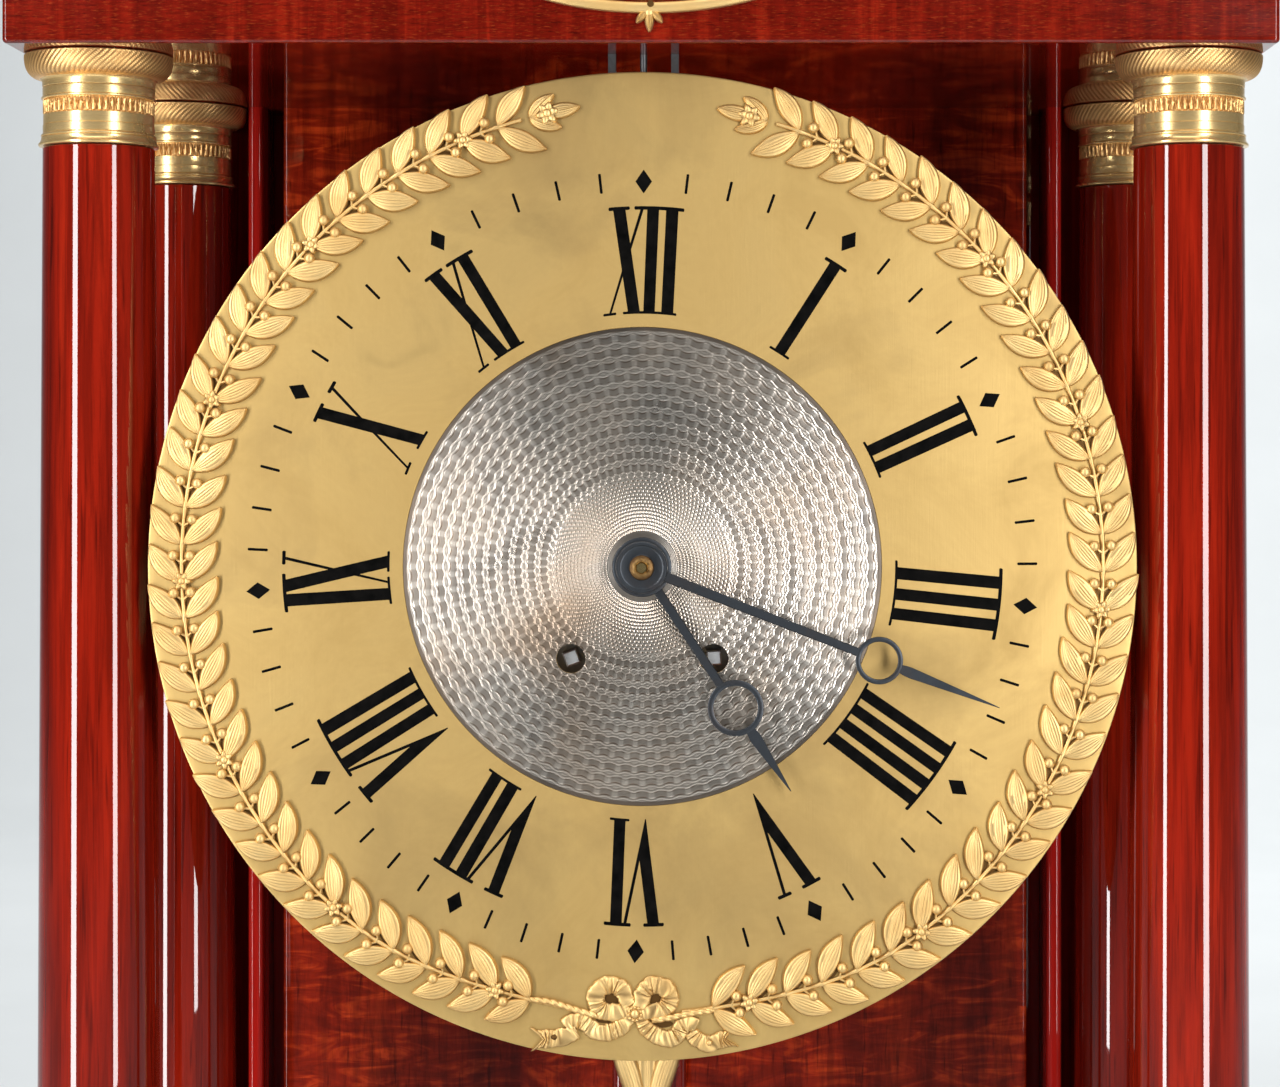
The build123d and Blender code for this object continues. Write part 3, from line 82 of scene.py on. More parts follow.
def place(nt, scale=(1, 1, 1), rot=(0, 0, 0), loc=(0, 0, 0)):
    tc = nt.nodes.new("ShaderNodeTexCoord")
    mp = nt.nodes.new("ShaderNodeMapping")
    mp.inputs["Scale"].default_value = scale
    mp.inputs["Rotation"].default_value = rot
    mp.inputs["Location"].default_value = loc
    nt.links.new(tc.outputs["Object"], mp.inputs["Vector"])
    return mp.outputs["Vector"]


def noise(nt, vec, scale=1.0, detail=4.0, rough=0.55, warp=0.0):
    n = nt.nodes.new("ShaderNodeTexNoise")
    n.inputs["Scale"].default_value = scale
    n.inputs["Detail"].default_value = detail
    n.inputs["Roughness"].default_value = rough
    n.inputs["Distortion"].default_value = warp
    nt.links.new(vec, n.inputs["Vector"])
    return n.outputs["Fac"]


def ramp(nt, fac, stops, mode="LINEAR"):
    r = nt.nodes.new("ShaderNodeValToRGB")
    r.color_ramp.interpolation = mode
    el = r.color_ramp.elements
    while len(el) < len(stops):
        el.new(0.5)
    for e, (pos, col) in zip(el, stops):
        e.position = pos
        e.color = (*col, 1) if not isinstance(col, float) else (col, col, col, 1)
    nt.links.new(fac, r.inputs["Fac"])
    return r.outputs["Color"]


def mix(nt, fac, a, b, mode="MIX"):
    n = nt.nodes.new("ShaderNodeMix")
    n.data_type = "RGBA"
    n.blend_type = mode
    n.clamp_factor = True
    if isinstance(fac, float):
        n.inputs[0].default_value = fac
    else:
        nt.links.new(fac, n.inputs[0])
    for sock, v in ((6, a), (7, b)):
        if isinstance(v, tuple):
            n.inputs[sock].default_value = (*v, 1)
        else:
            nt.links.new(v, n.inputs[sock])
    return n.outputs[2]


def bump(nt, height, strength, distance, under=None):
    b = nt.nodes.new("ShaderNodeBump")
    b.inputs["Strength"].default_value = strength
    b.inputs["Distance"].default_value = distance
    nt.links.new(height, b.inputs["Height"])
    if under is not None:
        nt.links.new(under, b.inputs["Normal"])
    return b.outputs["Normal"]


def attribute(nt, name):
    a = nt.nodes.new("ShaderNodeAttribute")
    a.attribute_name = name
    return a.outputs["Fac"]


def mahogany(name, grain, across, dark, mid, light, figure=0.5, seed=0.0, flecks=None, coat=1.0, gloss=(0.012, 0.045), clear_below=None):
    """Polished mahogany. grain and across are scales (per metre) of the pores and of the cross figure."""
    m, nt, b = material(name)
    shift = (seed, seed * 1.7, seed * 0.6)
    body = noise(nt, place(nt, tuple(g * 0.09 for g in grain), loc=shift), 1.0, 5, 0.6, 1.2)
    colour = ramp(nt, body, [(0.30, dark), (0.52, mid), (0.74, light)])
    band = noise(nt, place(nt, across, loc=shift), 1.0, 3, 0.55, 1.4)
    colour = mix(nt, figure, colour, ramp(nt, band, [(0.34, tuple(c * 0.50 for c in mid)), (0.52, mid), (0.70, tuple(min(1, c * 1.30) for c in light))]))
    streak = noise(nt, place(nt, tuple(g * 0.45 for g in grain), loc=shift), 1.0, 6, 0.7, 0.4)
    colour = mix(nt, ramp(nt, streak, [(0.40, 0.50), (0.58, 0.0)]), colour, tuple(c * 0.55 for c in dark))
    pores = noise(nt, place(nt, grain, loc=shift), 1.0, 2, 0.5)
    pore_mask = ramp(nt, pores, [(0.60, 0.0), (0.70, 0.55)])
    colour = mix(nt, pore_mask, colour, tuple(c * 0.30 for c in dark))
    if flecks is not None:
        spark = noise(nt, place(nt, flecks, loc=(seed, 0.3, 0.9)), 1.0, 3, 0.6, 0.3)
        colour = mix(nt, ramp(nt, spark, [(0.56, 0.0), (0.70, 0.60)]), colour, (light[0] * 1.25, light[1] * 3.4, light[2] * 3.0))
    nt.links.new(colour, b.inputs["Base Color"])
    nt.links.new(ramp(nt, streak, [(0.3, 0.42), (0.7, 0.30)]), b.inputs["Roughness"])
    b.inputs["Specular IOR Level"].default_value = 0.0
    b.inputs["Coat Weight"].default_value = coat
    b.inputs["Coat IOR"].default_value = 1.5
    rub = noise(nt, place(nt, (60, 60, 60), loc=shift), 1.0, 4, 0.6)
    polish = ramp(nt, rub, [(0.35, gloss[0]), (0.75, gloss[1])])
    if clear_below is not None:
        # the underside keeps a clear polish, the faces above it are a little rubbed
        up = nt.nodes.new("ShaderNodeSeparateXYZ")
        nt.links.new(place(nt, (1, 1, 500), loc=(0, 0, -500 * clear_below)), up.inputs[0])
        polish = mix(nt, ramp(nt, up.outputs["Z"], [(0.0, 0.0), (1.0, 1.0)]), ramp(nt, rub, [(0.35, 0.012), (0.75, 0.045)]), polish)
        nt.links.new(ramp(nt, up.outputs["Z"], [(0.0, 1.0), (1.0, coat)]), b.inputs["Coat Weight"])
    nt.links.new(polish, b.inputs["Coat Roughness"])
    nt.links.new(bump(nt, pores, 0.10, 0.0002), b.inputs["Normal"])
    wave = noise(nt, place(nt, (34, 34, 34), loc=shift), 1.0, 2, 0.4)
    nt.links.new(bump(nt, wave, 0.035, 0.0004, bump(nt, pores, 0.02, 0.00005)), b.inputs["Coat Normal"])
    return m


def metal(name, base, worn, rough=(0.25, 0.45), patch=40.0, grain=(400, 400, 400), bite=0.15, stain=None, stain_amount=0.5, relief=None, edge=None, fine=2400.0, fine_bite=0.06, spun=None, deep=(0.15, 0.95, 0.85), blotch=(7, 0.66, 0.8), metallic=1.0):
    """Metal with cloudy wear, directional scratches and a fine tooth; relief is a colour mixed in by a vertex
    attribute, as patina in the hollows and as painted shade on the pieces that paint it; spun is (amount, turn) of the
    sheen round the y axis.
    """
    m, nt, b = material(name)
    b.inputs["Metallic"].default_value = metallic
    cloud = noise(nt, place(nt, (patch, patch, patch)), 1.0, 5, 0.62, 0.6)
    colour = ramp(nt, cloud, [(0.34, worn), (0.62, base)])
    if stain is not None:
        spots = noise(nt, place(nt, (patch * 0.55, patch * 0.55, patch * 0.55), loc=(3.1, 1.7, 0.4)), 1.0, *blotch)
        colour = mix(nt, ramp(nt, spots, [(0.50, 0.0), (0.72, stain_amount)]), colour, stain)
    if relief is not None:
        hollow = attribute(nt, "hollow")
        colour = mix(nt, ramp(nt, hollow, [(deep[0], 0.0), (deep[1], deep[2])]), colour, relief)
    lines = noise(nt, place(nt, grain), 1.0, 3, 0.6)
    tooth = noise(nt, place(nt, (fine, fine, fine)), 1.0, 2, 0.5)
    if spun is not None:
        tangent = nt.nodes.new("ShaderNodeTangent")
        tangent.direction_type, tangent.axis = "RADIAL", "Y"
        nt.links.new(tangent.outputs["Tangent"], b.inputs["Tangent"])
        b.inputs["Anisotropic"].default_value, b.inputs["Anisotropic Rotation"].default_value = spun
    nt.links.new(colour, b.inputs["Base Color"])
    nt.links.new(ramp(nt, cloud, [(0.3, rough[1]), (0.7, rough[0])]), b.inputs["Roughness"])
    nt.links.new(bump(nt, tooth, fine_bite, 0.0001, bump(nt, lines, bite, 0.0001)), b.inputs["Normal"])
    return m


WOOD_DARK, WOOD_MID, WOOD_LIGHT = (0.069, 0.0030, 0.0012), (0.205, 0.0078, 0.0022), (0.332, 0.0172, 0.0041)
M = {}
M["column"] = mahogany("mahogany_column", (700, 700, 26), (26, 26, 3.2), WOOD_DARK, WOOD_MID, WOOD_LIGHT, 0.35, 0.3)
M["case"] = mahogany("mahogany_case", (260, 1500, 1900), (125, 125, 5.5), (0.072, 0.0029, 0.0012), (0.126, 0.0050, 0.0017), (0.186, 0.0098, 0.0027), 0.62, 1.9, (360, 360, 2600), gloss=(0.12, 0.18))
UNDERSIDE = min(v[2] for v in NODES["entablature_box"].bound_box)
M["frieze"] = mahogany("mahogany_frieze", (260, 1500, 1900), (125, 125, 5.5), (0.072, 0.0029, 0.0012), (0.126, 0.0050, 0.0017), (0.186, 0.0098, 0.0027), 0.62, 1.9, (360, 360, 2600), 0.55, (0.14, 0.20), UNDERSIDE + 0.0004)
M["stile"] = mahogany("mahogany_stile", (460, 460, 16), (18, 18, 2.4), (0.150, 0.0042, 0.0030), (0.290, 0.0080, 0.0054), (0.370, 0.0110, 0.0070), 0.25, 4.2, None, 0.45)
M["slab"] = mahogany("mahogany_slab", (30, 1300, 1300), (4.0, 60, 60), (0.072, 0.0029, 0.0012), (0.126, 0.0050, 0.0017), (0.186, 0.0098, 0.0027), 0.45, 3.3, gloss=(0.07, 0.12))
M["flame"] = mahogany("mahogany_flame", (480, 480, 52), (40, 40, 175), WOOD_DARK, (0.212, 0.0116, 0.0030), (0.415, 0.0390, 0.0064), 0.72, 2.6, None, 0.45)
# relief colour: dark patina in the chased hollows, and also the painted shadow of the dark ground patches in the wreath
# and the bow
M["gilt"] = metal("matte_gilding", (0.70, 0.490, 0.212), (0.60, 0.395, 0.155), (0.44, 0.58), 55, (600, 600, 600), 0.12, (0.44, 0.25, 0.09), 0.35, (0.080, 0.034, 0.008), deep=(0.10, 0.95, 0.94))
M["hatched"] = metal("hatched_gilding", (0.86, 0.540, 0.225), (0.72, 0.430, 0.160), (0.34, 0.46), 70, (600, 600, 600), 0.10, (0.46, 0.25, 0.09), 0.30, (0.34, 0.175, 0.058), metallic=0.84)
M["burnished"] = metal("burnished_gilding", (0.86, 0.610, 0.275), (0.68, 0.460, 0.185), (0.17, 0.29), 60, (40, 40, 1500), 0.08, (0.36, 0.23, 0.085), 0.50, metallic=0.78)
M["dial"] = metal("brushed_gilt_dial", (0.580, 0.394, 0.149), (0.435, 0.291, 0.106), (0.44, 0.57), 24, (1500, 1500, 60), 0.20, (0.30, 0.198, 0.080), 0.62, blotch=(6, 0.60, 0.7))
# the relief colour of the silvered centre is painted shade, mixed in over its cut pattern
M["silver"] = metal("silvered_guilloche", (0.875, 0.805, 0.725), (0.74, 0.655, 0.565), (0.26, 0.36), 34, (700, 700, 700), 0.04, (0.46, 0.27, 0.13), 0.55, (0.20, 0.135, 0.088), spun=(0.71, 0.25), deep=(0.04, 0.90, 0.92), blotch=(3, 0.50, 0.4))
M["blued"] = metal("blued_steel", (0.056, 0.063, 0.072), (0.036, 0.040, 0.046), (0.38, 0.54), 90, (900, 900, 900), 0.10, (0.075, 0.050, 0.038), 0.35)
M["steel"] = metal("polished_steel", (0.68, 0.69, 0.70), (0.52, 0.52, 0.52), (0.30, 0.46), 120, (900, 900, 200), 0.10, (0.30, 0.24, 0.19), 0.4)
M["dull_steel"] = metal("dull_steel", (0.17, 0.175, 0.18), (0.095, 0.098, 0.10), (0.40, 0.60), 120, (900, 900, 160), 0.25, (0.13, 0.09, 0.06), 0.5)
M["spring"] = metal("spring_steel", (0.26, 0.28, 0.33), (0.16, 0.17, 0.20), (0.22, 0.38), 150, (200, 1400, 200), 0.08, (0.22, 0.16, 0.10), 0.3)
M["brass"] = metal("movement_brass", (0.80, 0.60, 0.27), (0.64, 0.45, 0.17), (0.18, 0.34), 70, (1300, 300, 300), 0.07, (0.40, 0.26, 0.10), 0.4)
# painted shade: the movement's front plate is given a dark brass so that the winding holes through the dial look black,
# as shade would make them; such plates were often left dull as well
M["shade_darkened_brass"] = metal("plate_brass_painted_shade", (0.26, 0.18, 0.075), (0.15, 0.10, 0.045), (0.34, 0.52), 90, (1300, 300, 300), 0.12, (0.09, 0.055, 0.025), 0.6)
M["bell"] = metal("bell_metal", (0.62, 0.47, 0.27), (0.45, 0.33, 0.18), (0.22, 0.40), 60, (300, 1500, 300), 0.10, (0.24, 0.17, 0.10), 0.5)
M["bob"] = metal("spun_brass", (0.84, 0.63, 0.28), (0.70, 0.50, 0.20), (0.16, 0.28), 50, (300, 1500, 300), 0.06, (0.42, 0.27, 0.10), 0.35)
M["rusty"] = metal("aged_collet", (0.27, 0.165, 0.060), (0.12, 0.066, 0.028), (0.40, 0.60), 520, (900, 900, 900), 0.3, (0.10, 0.045, 0.018), 0.8, (0.075, 0.040, 0.018))


def wax(name):
    m, nt, b = material(name)
    cloud = noise(nt, place(nt, (220, 220, 220)), 1.0, 4, 0.6)
    nt.links.new(ramp(nt, cloud, [(0.35, (0.0010, 0.0010, 0.0009)), (0.75, (0.0040, 0.0034, 0.0030))]), b.inputs["Base Color"])
    nt.links.new(ramp(nt, cloud, [(0.3, 0.40), (0.7, 0.60)]), b.inputs["Roughness"])
    b.inputs["Specular IOR Level"].default_value = 0.03
    nt.links.new(bump(nt, noise(nt, place(nt, (1200, 1200, 1200)), 1.0, 3), 0.15, 0.0001), b.inputs["Normal"])
    return m


M["wax"] = wax("black_wax")

BY_NODE = {}
for names, key in (
    ("columns", "column"), ("pendulum_rod", "column"), ("back_frame", "stile"), ("back_panel", "flame"),
    ("base_moulding plinth_block", "case"), ("entablature_box", "frieze"), ("plinth_slab entablature_cap", "slab"),
    ("bun_feet column_bases column_capitals", "burnished"),
    ("frieze_mount laurel_branches ribbon_bow pendulum_leaf", "gilt"),
    ("dial_plate", "dial"), ("dial_centre", "silver"), ("chapter_inlay", "wax"), ("hour_hand minute_hand", "blued"),
    ("hand_collet", "rusty"),
    ("column_tie_rods movement_hanger movement_screws bell_stand crutch", "dull_steel"),
    ("going_winding_arbor strike_winding_arbor going_click strike_click pallet_anchor pendulum_tail_rod hammer", "steel"),
    ("going_mainspring strike_mainspring suspension_spring", "spring"),
    ("bell", "bell"), ("pendulum_bob", "bob"), ("front_plate", "shade_darkened_brass"),
):
    for n in names.split():
        BY_NODE[n] = key
for n, o in NODES.items():
    o.data.materials.clear()
    o.data.materials.append(M[BY_NODE.get(n, "brass")])


# ------------------------------------------------------------------ mesh helpers
class Shell:
    """Closed shells gathered into one mesh, in millimetres. Each point carries a darkening value: 0 on high places,
    towards 1 in the depths for patina, and 1 on the patches where shade is painted.
    """

    def __init__(self):
        self.v, self.h, self.quads, self.polys, self.n = [], [], [], [], 0

    def add(self, verts, quads=None, polys=(), hollow=None):
        verts = np.asarray(verts, float).reshape(-1, 3)
        self.v.append(verts)
        self.h.append(np.zeros(len(verts)) if hollow is None else np.asarray(hollow, float).reshape(-1))
        if quads is not None and len(quads):
            self.quads.append(np.asarray(quads, int).reshape(-1, 4) + self.n)
        self.polys += [tuple(int(i) + self.n for i in p) for p in polys]
        self.n += len(verts)

    def build(self, name, mat, body, nodes=(), slot=None, sharp=40.0):
        faces = (np.concatenate(self.quads).tolist() if self.quads else []) + self.polys
        mesh = bpy.data.meshes.new(name)
        mesh.from_pydata((np.concatenate(self.v) * MM).tolist(), [], faces)
        layer = mesh.attributes.new("hollow", "FLOAT", "POINT")
        layer.data.foreach_set("value", np.concatenate(self.h).astype(np.float32))
        bm = bmesh.new()
        bm.from_mesh(mesh)
        bmesh.ops.recalc_face_normals(bm, faces=bm.faces)
        bm.to_mesh(mesh)
        bm.free()
        mesh.polygons.foreach_set("use_smooth", [True] * len(mesh.polygons))
        mesh.set_sharp_from_angle(angle=math.radians(sharp))
        mesh.materials.append(mat)
        o = bpy.data.objects.new(name, mesh)
        bpy.context.scene.collection.objects.link(o)
        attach(o, body)
        if nodes:
            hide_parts(*nodes)
        return o


def net(nu, nv, wrap_u=False, wrap_v=False):
    """Quads of a grid of nu rows of nv points."""
    i = np.arange(nu if wrap_u else nu - 1)[:, None]
    j = np.arange(nv if wrap_v else nv - 1)[None, :]
    a, b = i * nv + j, ((i + 1) % nu) * nv + j
    c, d = ((i + 1) % nu) * nv + (j + 1) % nv, i * nv + (j + 1) % nv
    return np.stack([a, b, c, d], -1).reshape(-1, 4)


def on_dial(x, z, d):
    """A point of the dial: x to the right and z up from its centre, d in front of its face."""
    x, z, d = np.broadcast_arrays(np.asarray(x, float), z, d)
    return np.stack([x, DIAL_Y - d, DIAL_Z + z], -1)


def on_frieze(x, z, d):
    x, z, d = np.broadcast_arrays(np.asarray(x, float), z, d)
    return np.stack([x, -101.0 - d, 664.0 + z], -1)


def on_rod(x, z, d):
    x, z, d = np.broadcast_arrays(np.asarray(x, float), z, d)
    return np.stack([x, -12.0 - d, DIAL_Z + z], -1)


def patch(shell, to, x, z, d, foot=-0.05, hollow=None):
    """A raised patch: grid (rows along, columns across) of points with heights d, closed by walls and a flat underside."""
    nu, nv = x.shape
    top = to(x, z, d).reshape(-1, 3)
    left, right = to(x[:, 0], z[:, 0], foot), to(x[:, -1], z[:, -1], foot)
    quads = [net(nu, nv)]
    base = nu * nv
    i = np.arange(nu - 1)
    lo, ro = base + i, base + nu + i
    quads.append(np.stack([i * nv, lo, lo + 1, (i + 1) * nv], -1))
    quads.append(np.stack([i * nv + nv - 1, (i + 1) * nv + nv - 1, ro + 1, ro], -1))
    quads.append(np.stack([lo, ro, ro + 1, lo + 1], -1))
    polys = [tuple(range(nv)) + (base + nu, base),
             tuple((nu - 1) * nv + k for k in range(nv)) + (base + 2 * nu - 1, base + nu - 1)]
    h = np.zeros((nu, nv)) if hollow is None else hollow
    shell.add(np.concatenate([top, left, right]), np.concatenate(quads), polys, np.concatenate([h.ravel(), np.ones(2 * nu)]))


def turned(shell, profile, cx, cy, z0, segs=128, relief=None):
    """A ring turned about an upright axis; profile is closed, as (radius, height). relief gives (lift, hollow)."""
    p = np.asarray(profile, float)
    t = np.linspace(0, 2 * math.pi, segs, endpoint=False)[:, None]
    r, z = np.broadcast_to(p[None, :, 0], (segs, len(p))), np.broadcast_to(p[None, :, 1], (segs, len(p)))
    lift, hollow = relief(t, r, z) if relief else (0.0, None)
    r = r + lift
    pts = np.stack([cx + r * np.cos(t), cy + r * np.sin(t), z0 + z], -1)
    shell.add(pts, net(segs, len(p), True, True), hollow=hollow)


def dished(shell, to, profile, cx=0.0, cz=0.0, segs=128, lobes=None):
    """A ring turned about an axis square to a face; profile is closed, as (radius, height)."""
    p = np.asarray(profile, float)
    t = np.linspace(0, 2 * math.pi, segs, endpoint=False)[:, None]
    r, d = np.broadcast_to(p[None, :, 0], (segs, len(p))), np.broadcast_to(p[None, :, 1], (segs, len(p)))
    hollow = None
    if lobes is not None:
        r, d, hollow = lobes(t, r, d)
    shell.add(to(cx + r * np.sin(t), cz + r * np.cos(t), d), net(segs, len(p), True, True), hollow=hollow)


def ball(shell, centre, radius, squash=(1, 1, 1), nu=10, nv=14):
    a = np.linspace(0.16, math.pi - 0.16, nu)[:, None]
    b = np.linspace(0, 2 * math.pi, nv, endpoint=False)[None, :]
    x, y, z = np.sin(a) * np.cos(b), np.cos(a) + 0 * b, np.sin(a) * np.sin(b)
    pts = np.stack([centre[0] + radius * squash[0] * x, centre[1] + radius * squash[1] * y, centre[2] + radius * squash[2] * z], -1)
    shell.add(pts, net(nu, nv, False, True), [tuple(range(nv)), tuple((nu - 1) * nv + k for k in range(nv))])


def tube(shell, points, radius, sides=10, flat=1.0):
    """A round bar along points (already in the row frame), closed at both ends; radius may vary along it."""
    p = np.asarray(points, float)
    n = len(p)
    radius = np.broadcast_to(np.asarray(radius, float), (n,))
    tan = np.gradient(p, axis=0)
    tan /= np.linalg.norm(tan, axis=1)[:, None]
    out = np.tile(np.array([0.0, -1.0, 0.0]), (n, 1))
    side = np.cross(tan, out)
    side /= np.linalg.norm(side, axis=1)[:, None]
    up = np.cross(side, tan)
    t = np.linspace(0, 2 * math.pi, sides, endpoint=False)
    pts = p[:, None, :] + radius[:, None, None] * (np.cos(t)[None, :, None] * side[:, None, :] + flat * np.sin(t)[None, :, None] * up[:, None, :])
    shell.add(pts, net(n, sides, False, True), [tuple(range(sides)), tuple((n - 1) * sides + k for k in range(sides))])


def prism(shell, to, outline, d0, d1, bevel=0.0, holes=()):
    """A flat shape with straight walls, bevelled along its front edge."""
    loops = [np.asarray(outline, float)] + [np.asarray(h, float) for h in holes]
    quads, n = [], 0
    total = sum(len(l) for l in loops)
    for l in loops:
        m = len(l)
        e = np.roll(l, -1, 0) - l
        e /= np.linalg.norm(e, axis=1)[:, None]
        area = 0.5 * np.sum(l[:, 0] * np.roll(l[:, 1], -1) - np.roll(l[:, 0], -1) * l[:, 1])
        nrm = np.stack([-e[:, 1], e[:, 0]], -1) * (1 if area > 0 else -1)
        mid = nrm + np.roll(nrm, 1, 0)
        mid /= np.maximum(0.35, np.sum(mid * nrm, axis=1))[:, None]
        i = np.arange(m)
        quads.append((l, l + mid * bevel, i, (i + 1) % m, n))
        n += m
    rings = [(True, d1), (False, d1 - bevel), (False, d0)] if bevel > 0 else [(False, d1), (False, d0)]
    verts, q = [], []
    for inner, d in rings:
        for l, inset, i, nxt, k in quads:
            ring = inset if inner else l
            verts.append(to(ring[:, 0], ring[:, 1], d))
    for row in range(len(rings) - 1):
        for l, inset, i, nxt, k in quads:
            k += row * total
            q.append(np.stack([k + i, k + nxt, total + k + nxt, total + k + i], -1))
    flat = [[Vector((a, b, 0)) for a, b in inset] for l, inset, i, nxt, k in quads]
    tris = tessellate_polygon(flat)
    last = (len(rings) - 1) * total
    polys = [tuple(t) for t in tris] + [tuple(last + k for k in reversed(t)) for t in tris]
    shell.add(np.concatenate(verts), np.concatenate(q), polys)


def smooth_path(points, n):
    """Catmull-Rom line through points, resampled evenly."""
    p = np.asarray(points, float)
    q = np.vstack([2 * p[0] - p[1], p, 2 * p[-1] - p[-2]])
    out = []
    for i in range(1, len(q) - 2):
        t = np.linspace(0, 1, 24, endpoint=False)[:, None]
        a, b, c, d = q[i - 1], q[i], q[i + 1], q[i + 2]
        out.append(0.5 * (2 * b + (c - a) * t + (2 * a - 5 * b + 4 * c - d) * t ** 2 + (3 * b - a - 3 * c + d) * t ** 3))
    out = np.vstack(out + [p[-1:]])
    s = np.concatenate([[0], np.cumsum(np.linalg.norm(np.diff(out, axis=0), axis=1))])
    u = np.linspace(0, s[-1], n)
    return np.stack([np.interp(u, s, out[:, k]) for k in range(2)], -1), u


def circle(r, n=96, cx=0.0, cz=0.0):
    t = np.linspace(0, 2 * math.pi, n, endpoint=False)
    return np.stack([cx + r * np.cos(t), cz + r * np.sin(t)], -1)


# ------------------------------------------------------------------ columns, capitals, bases and feet
def bore(profile, r=3.45):
    """Closes an outer profile with the bore that the tie rod passes through."""
    return [(r, profile[0][1])] + list(profile) + [(r, profile[-1][1])]


shafts = Shell()
for cx, cy in COLUMNS:
    k = np.concatenate([[0.0, 0.0006, 0.0012, 0.003], np.linspace(0.012, 0.988, 56), [0.997, 0.9988, 0.9994, 1.0]])
    r = 19.7 - 2.2 * k + 0.6 * k * (1 - k)
    r[0] -= 0.25
    r[-1] -= 0.25
    turned(shafts, bore([(a, b * 459.4) for a, b in zip(r, k)]), cx, cy, 136.0, 192)
shafts.build("column_shafts", M["column"], "case", ["columns"], "mahogany")


def arc(cx, cz, r, a0, a1, n):
    t = np.radians(np.linspace(a0, a1, n))
    return [(cx + r * math.cos(a), cz + r * math.sin(a)) for a in t]


def hatched(t, r, z, n=76, z0=21.4, z1=28.8, depth=0.22):
    """Slanting cuts round a moulding, crossed by a second, finer family."""
    inside = np.clip((z - z0 + 0.2) / 0.8, 0, 1) * np.clip((z1 + 0.2 - z) / 0.8, 0, 1) * (r > 18.9)
    run = (z - (z0 + z1) / 2) / 24.0
    cut = np.zeros(np.broadcast(t, z).shape)
    for s, deep, m, w in ((-1, 1.0, n, 0.19), (-1, 0.55, 2 * n, 0.20), (1, 0.88, 2 * n, 0.20)):
        f = np.mod(m * (t + s * run) / (2 * math.pi), 1.0) - 0.5
        cut = np.maximum(cut, deep * np.exp(-(f / w) ** 2))
    return -depth * cut * inside, cut * inside


def lancets(t, r, z, n=54, z0=10.2, z1=14.7, lift=0.60):
    """A row of upright round-headed leaves round a band, each with an inner line, and bars between."""
    v = np.clip((z - z0) / (z1 - z0), 0, 1)
    u = np.abs(np.mod(n * t / (2 * math.pi), 1.0) - 0.5) * 2
    half = 0.84 * np.sqrt(np.clip(1 - v ** 2.2, 0, 1))
    leaf = np.clip((half - u) / 0.16, 0, 1)
    groove = np.exp(-((u - half * 0.62) / 0.09) ** 2) * leaf * 0.75
    rib = np.exp(-(u / 0.10) ** 2) * 0.25 * leaf
    bar = np.exp(-((1 - u) / 0.10) ** 2) * np.clip((v - 0.30) / 0.2, 0, 1) * 0.75
    high = np.clip(np.maximum(leaf - groove + rib, bar), 0, 1.2)
    inside = (r > 16.0) * np.clip((z - z0) / 0.25, 0, 1) * np.clip((z1 - z) / 0.25, 0, 1)
    return lift * high * inside, (1 - np.clip(high, 0, 1)) * inside


plain, worked = Shell(), Shell()
for cx, cy in COLUMNS:
    z0 = 595.75
    turned(plain, bore([(18.3, 0), (18.7, 0.12), (18.86, 0.45), (18.8, 0.8), (18.5, 1.15), (18.2, 1.6), (18.0, 2.2), (17.95, 2.8), (17.75, 2.95)]
                       + arc(17.62, 3.4, 0.44, -80, 80, 9) + [(17.5, 4.0), (17.4, 4.15), (17.44, 4.3), (17.5, 6.6), (17.36, 6.72), (17.2, 6.75)]), cx, cy, z0, 192)
    turned(plain, bore([(17.2, 6.75), (17.3, 6.85), (17.34, 7.0), (17.36, 10.0), (17.2, 10.1), (16.9, 10.15)]), cx, cy, z0, 192)
    turned(worked, bore([(16.72, 10.1)] + [(16.72, a) for a in np.linspace(10.2, 14.7, 26)] + [(16.72, 14.8)], 12.0), cx, cy, z0, 720, lancets)
    turned(plain, bore([(17.0, 14.8)] + arc(17.5, 15.3, 0.46, -85, 85, 9) + [(17.45, 15.82), (17.50, 15.95), (17.56, 18.4), (17.46, 18.6), (17.2, 18.65)]), cx, cy, z0, 192)
    turned(plain, bore([(17.2, 18.65), (17.5, 18.75), (17.62, 18.9), (17.66, 20.6), (17.85, 20.95), (18.3, 21.3), (18.5, 21.45), (18.0, 21.5)]), cx, cy, z0, 192)
    ovolo = smooth_path([(18.55, 21.42), (20.3, 21.95), (21.7, 23.0), (22.6, 24.4), (23.1, 26.0), (23.3, 27.6), (23.3, 28.7), (23.15, 28.95)], 44)[0]
    turned(worked, bore([(18.0, 21.42)] + [tuple(q) for q in ovolo] + [(20.0, 28.95)], 12.0), cx, cy, z0, 912, hatched)

    z0 = 108.0
    turned(plain, bore([(22.9, 0), (23.2, 0.3), (23.2, 4.1), (22.9, 4.4), (21.4, 4.6)]), cx, cy, z0, 160)
    turned(worked, bore([(20.4, 4.6)] + arc(19.05, 8.8, 4.15, -80, 80, 30) + [(20.0, 13.1)], 12.0), cx, cy, z0, 608,
           lambda t, r, z: hatched(t, r, z, 76, 4.9, 12.7))
    turned(plain, bore([(20.0, 13.1), (20.9, 13.25), (20.9, 14.8), (20.7, 15.0)] + arc(22.9, 17.4, 3.0, 230, 130, 9) + [(20.9, 19.9), (20.3, 20.0)]), cx, cy, z0, 160)
    turned(plain, bore([(20.0, 20.0)] + arc(19.7, 21.9, 1.9, -70, 70, 14) + [(20.0, 23.8), (20.2, 23.95), (20.2, 27.1), (19.9, 27.4)]), cx, cy, z0, 160)
plain.build("capital_and_base_bands", M["burnished"], "case", ["column_capitals", "column_bases"], "gilt_bronze", 30)
worked.build("capital_and_base_ornament", M["hatched"], "case", (), "gilt_bronze", 60)

